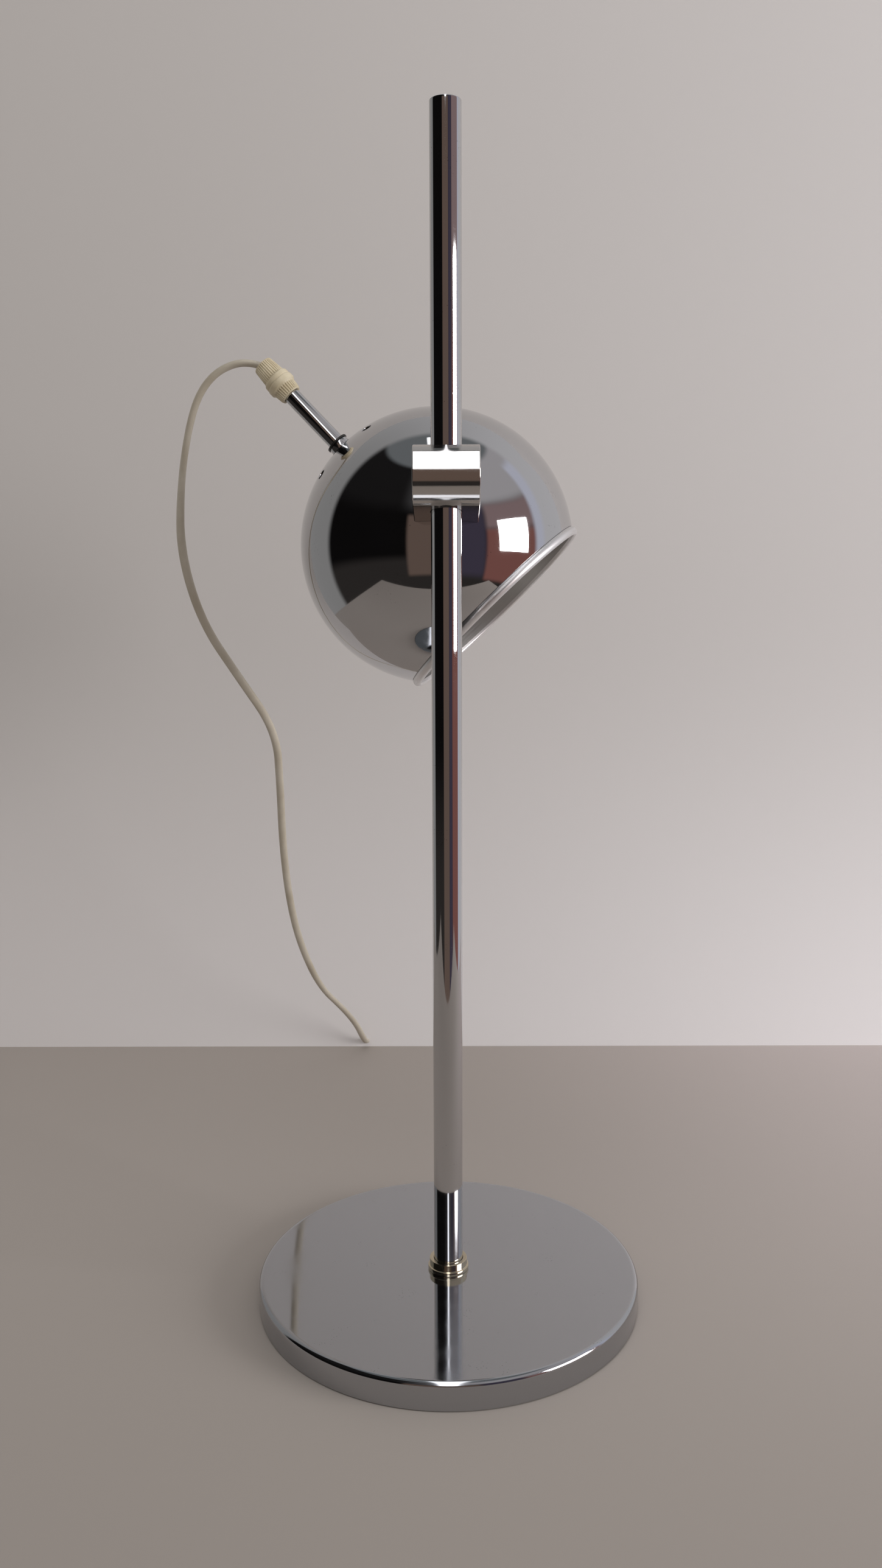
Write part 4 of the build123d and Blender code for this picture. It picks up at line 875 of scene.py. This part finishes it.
# the grooves between the ribs reach only points further out than ribFoot
gripForm = {
    "start": 124.0, "capStart": 138.0, "ribs": 30, "ribDepth": 0.5, "ribRadius": 7.0, "ribFoot": 5.95,
    "body": [(5.1, 0.35), (5.6, 0), (6.2, 0), (6.45, 0.3), (6.5, 0.6), (6.8, 0.9), (7.0, 2.4), (7.2, 4.0),
             (7.45, 5.6), (7.6, 6.1), (7.85, 6.6), (8.3, 6.9), (8.55, 7.3), (8.6, 7.8), (8.6, 9.6),
             (8.5, 10.2), (8.25, 10.6), (8.1, 10.8), (8.2, 11.1), (8.27, 11.5), (8.25, 12.8), (8.1, 13.5),
             (7.8, 13.95), (7.2, 14.0), (5.3, 14.0), (5.3, 10.0), (5.1, 9.9)],
    "bodyRibs": (0.8, 5.7),
    "cap": [(5.3, 0.05), (6.9, 0.05), (7.15, 0.3), (7.1, 0.8), (6.8, 3.8), (6.5, 6.8), (6.2, 9.6),
            (6.05, 10.3), (5.75, 10.8), (5.3, 10.9), (4.9, 10.75), (4.4, 8.6), (3.3, 4.0), (2.75, 1.7),
            (5.3, 1.6)],
    "capRibs": (0.7, 9.7),
}


def cutRibs(piece, low, high):
    step = 2 * pi / (gripForm["ribs"] * 4)
    onlyPick(piece)
    bpy.ops.object.mode_set(mode="EDIT")
    base = piece.location.z

    def inGroove(co):
        height = (co.z + base) / mm
        far = hypot(co.x, co.y) / mm > gripForm["ribFoot"]
        return far and low < height < high and round(atan2(co.y, co.x) / step) % 4 in (2, 3)

    pickVertices(piece, inGroove)
    shrink = 1 - gripForm["ribDepth"] / gripForm["ribRadius"]
    bpy.ops.transform.resize(value=(shrink, shrink, 1), center_override=(0, 0, 0))
    bpy.ops.object.mode_set(mode="OBJECT")


def makeGrip():
    for name, part, start, node in (("gripBody", "body", "start", "grip_body"),
                                    ("gripCap", "cap", "capStart", "grip_cap")):
        piece = turned(name, scaled(gripForm[part]), gripForm["ribs"] * 4)
        cutRibs(piece, *gripForm[part + "Ribs"])
        placeAlong(piece, ballCentre + tubeWay * gripForm[start] * mm, tubeWay)
        finishPiece(piece, "ivory_plastic", "ball", node)


bulbForm = {"sides": 96, "start": -23.15, "capRadius": 7.0, "neck": 11.0, "radius": 22.5, "length": 50.0,
            "wall": 0.7, "tip": 0.3, "steps": 30}


def makeBulb():
    start, radius, wall = bulbForm["start"], bulbForm["radius"], bulbForm["wall"]
    centre = start + bulbForm["length"] - radius
    meet = centre - ballHeight(radius, bulbForm["neck"])
    tip, steps = bulbForm["tip"], bulbForm["steps"]
    outer = arcThrough((bulbForm["neck"], meet), (radius, centre), (tip, centre + ballHeight(radius, tip)),
                       steps)
    innerArc = arcThrough((tip, centre + ballHeight(radius - wall, tip)), (radius - wall, centre),
                          (bulbForm["neck"] - wall, meet), steps)
    outline = [(bulbForm["capRadius"] - wall, start), (bulbForm["capRadius"], start)] + outer + innerArc
    piece = turned("bulbGlass", scaled(outline), bulbForm["sides"])
    placeAlong(piece, ballCentre, mouthWay)
    finishPiece(piece, "frosted_glass", "ball", "bulb_glass")


makeBallShell()
makeMouthRing()
makeReflector()
makeTube()
makeGrip()
makeBulb()
print("ball, tube and grip made")


# the flex: an oval sheath along smooth lines, whose control points each route lists in metres; the part
# beyond the switch is rounder, and the heights between which the sheath turns are in metres as well
flex = {"wide": 5.5, "thick": 4.2, "coiledWide": 5.2, "coiledThick": 4.8, "sides": 20, "steps": 12,
        "lead": 8.0, "lying": (0.18, 0.06), "edgeways": (0.40, 0.50), "smoothAngle": 50}
cordExit = ballCentre + tubeWay * gripForm["capStart"] * mm
cordRoute = [Vector(point) for point in (
    cordExit,
    cordExit + tubeWay * flex["lead"] * mm,
    (-0.1136, 0.1125, 0.5246),
    (-0.1246, 0.1130, 0.5248),
    (-0.1374, 0.1145, 0.5191),
    (-0.1479, 0.1170, 0.5070),
    (-0.1555, 0.1220, 0.4875),
    (-0.1630, 0.1320, 0.4580),
    (-0.1680, 0.1460, 0.4170),
    (-0.1600, 0.1670, 0.3720),
    (-0.1400, 0.1860, 0.3350),
    (-0.1180, 0.2060, 0.2960),
    (-0.1190, 0.2270, 0.2530),
    (-0.1210, 0.2480, 0.2070),
    (-0.1200, 0.2710, 0.1600),
    (-0.1150, 0.2910, 0.1200),
    (-0.1030, 0.3160, 0.0770),
    (-0.0860, 0.3430, 0.0490),
    (-0.0770, 0.3640, 0.0280),
    (-0.0730, 0.3760, 0.0130),
    (-0.0710, 0.3860, 0.0050),
    (-0.0695, 0.3970, 0.0029),
    (-0.0670, 0.4100, 0.0027),
)]
floorRoute = cordRoute[-1:] + [Vector(point) for point in (
    (-0.0610, 0.4200, 0.0029),
    (-0.0515, 0.4280, 0.0045),
    (-0.0400, 0.4320, 0.0075),
    (-0.0280, 0.4320, 0.0075),
)]
linkRoute = [Vector(point) for point in (
    (0.0380, 0.4320, 0.0075),
    (0.0470, 0.4320, 0.0075),
    (0.0600, 0.4320, 0.0036),
    (0.0690, 0.4320, 0.0036),
)]
tailRoute = [Vector(point) for point in (
    (0.0600, 0.5040, 0.0091),
    (0.0400, 0.5035, 0.00685),
    (0.0300, 0.5035, 0.00685),
)]
coil = {"start": (74.0, 432.0, 3.6), "radius": 36.0, "step": 2.75, "lowerHalfTurns": 5,
        "upperHalfTurns": 3, "climb": 5.5, "points": 8}


def routeLine(route):
    curve = bpy.data.curves.new("routeCurve", "CURVE")
    curve.dimensions = "3D"
    curve.resolution_u = flex["steps"]
    spline = curve.splines.new("NURBS")
    spline.points.add(len(route) - 1)
    for point, place in zip(spline.points, route):
        point.co = (*place, 1)
    spline.order_u = 3
    spline.use_endpoint_u = True
    holder = bpy.data.objects.new("routeCurve", curve)
    mesh = bpy.data.meshes.new_from_object(holder)
    line = [vertex.co.copy() for vertex in mesh.vertices]
    bpy.data.meshes.remove(mesh)
    bpy.data.objects.remove(holder)
    bpy.data.curves.remove(curve)
    return line


def easeBetween(value, low, high):
    t = min(max((value - low) / (high - low), 0), 1)
    return t * t * (3 - 2 * t)


# the flat side faces forward where the flex hangs and down where it lies, and turns edgeways near the grip
def sectionWay(place, way):
    lying = easeBetween(place.z, *flex["lying"])
    reference = Vector((0, 1 - lying, lying))
    side = way.cross(reference).normalized()
    roll = radians(90) * easeBetween(place.z, *flex["edgeways"])
    return Matrix.Rotation(roll, 3, way) @ side


def sweepFlex(name, route, wide, thick):
    line = routeLine(route)
    sides = flex["sides"]
    vertices, faces = [], []
    for k, place in enumerate(line):
        if k == 0:
            way = (route[1] - route[0]).normalized()
        elif k == len(line) - 1:
            way = (route[-1] - route[-2]).normalized()
        else:
            way = (line[k + 1] - line[k - 1]).normalized()
        side = sectionWay(place, way)
        other = way.cross(side)
        for j in range(sides):
            angle = 2 * pi * j / sides
            vertices.append(place + side * cos(angle) * wide * mm / 2 + other * sin(angle) * thick * mm / 2)
        if k:
            first = (k - 1) * sides
            for j in range(sides):
                after = (j + 1) % sides
                faces.append((first + j, first + after, first + sides + after, first + sides + j))
    last = (len(line) - 1) * sides
    faces.append(tuple(reversed(range(sides))))
    faces.append(tuple(range(last, last + sides)))
    mesh = bpy.data.meshes.new(name)
    mesh.from_pydata(vertices, [], faces)
    piece = bpy.data.objects.new(name, mesh)
    bpy.context.scene.collection.objects.link(piece)
    mesh.materials.append(looks["ivory_flex"])
    onlyPick(piece)
    bpy.ops.object.mode_set(mode="EDIT")
    bpy.ops.mesh.select_all(action="SELECT")
    bpy.ops.mesh.normals_make_consistent(inside=False)
    bpy.ops.object.mode_set(mode="OBJECT")
    bpy.ops.object.shade_smooth_by_angle(angle=radians(flex["smoothAngle"]))
    return piece, line


def halfway(first, second):
    return (first + second) / 2


def stretchOf(first, last):
    return ([halfway(cordRoute[first], cordRoute[first + 1])] + cordRoute[first + 1:last + 1]
            + [halfway(cordRoute[last], cordRoute[last + 1])])


# each hanging piece: its name, its route, the node that it stands for, and the bodies that it runs between
hanging = [
    ("flexAtGrip", cordRoute[:7] + [halfway(cordRoute[6], cordRoute[7])], "cord_at_grip", "ball", "seat"),
    ("flexUpper", stretchOf(6, 9), "cord_upper", "seat", "slider"),
    ("flexMiddle", stretchOf(9, 12), "cord_middle", "slider", "bush"),
    ("flexLower", stretchOf(12, 21), "cord_lower", "bush", root),
]


def makeHangingFlex():
    for name, route, node, above, below in hanging:
        piece, line = sweepFlex(name, route, flex["wide"], flex["thick"])
        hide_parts(node)
        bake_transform(piece)


# half turns that tighten on the table, one that climbs, and half turns that widen on top of them
def coilRoute():
    points = []
    place = Vector(coil["start"])
    half = radians(180)
    count = coil["points"]
    steps = [(k + 0.5) / count for k in range(count)]
    tight = coil["radius"] - coil["lowerHalfTurns"] * coil["step"]
    turns = [(coil["radius"] - k * coil["step"], (-1) ** k, 0) for k in range(coil["lowerHalfTurns"])]
    turns.append((tight, -1, coil["climb"]))
    turns += [(tight + (k + 1) * coil["step"], (-1) ** k, 0) for k in range(coil["upperHalfTurns"])]
    for radius, way, lift in turns:
        centre = place + Vector((0, way * radius, 0))
        reach = radius / cos(half / count / 2)
        for share in steps:
            angle = half * share
            rising = lift * (1 - cos(angle)) / 2
            points.append(centre + Vector((way * reach * sin(angle), -way * reach * cos(angle), rising)))
        place = place + Vector((0, 2 * way * radius, lift))
    return [point * mm for point in points]


def makeLyingFlex():
    route = [halfway(cordRoute[21], cordRoute[22])] + floorRoute
    piece, line = sweepFlex("flexToSwitch", route, flex["wide"], flex["thick"])
    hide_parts("cord_floor")
    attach(piece, root)
    route = linkRoute + coilRoute() + tailRoute
    piece, line = sweepFlex("flexToPlug", route, flex["coiledWide"], flex["coiledThick"])
    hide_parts("cord_link", "cord_coil", "cord_tail")
    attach(piece, root)


makeHangingFlex()
makeLyingFlex()
print("flex made")

bpy.context.scene.view_settings.view_transform = "Standard"
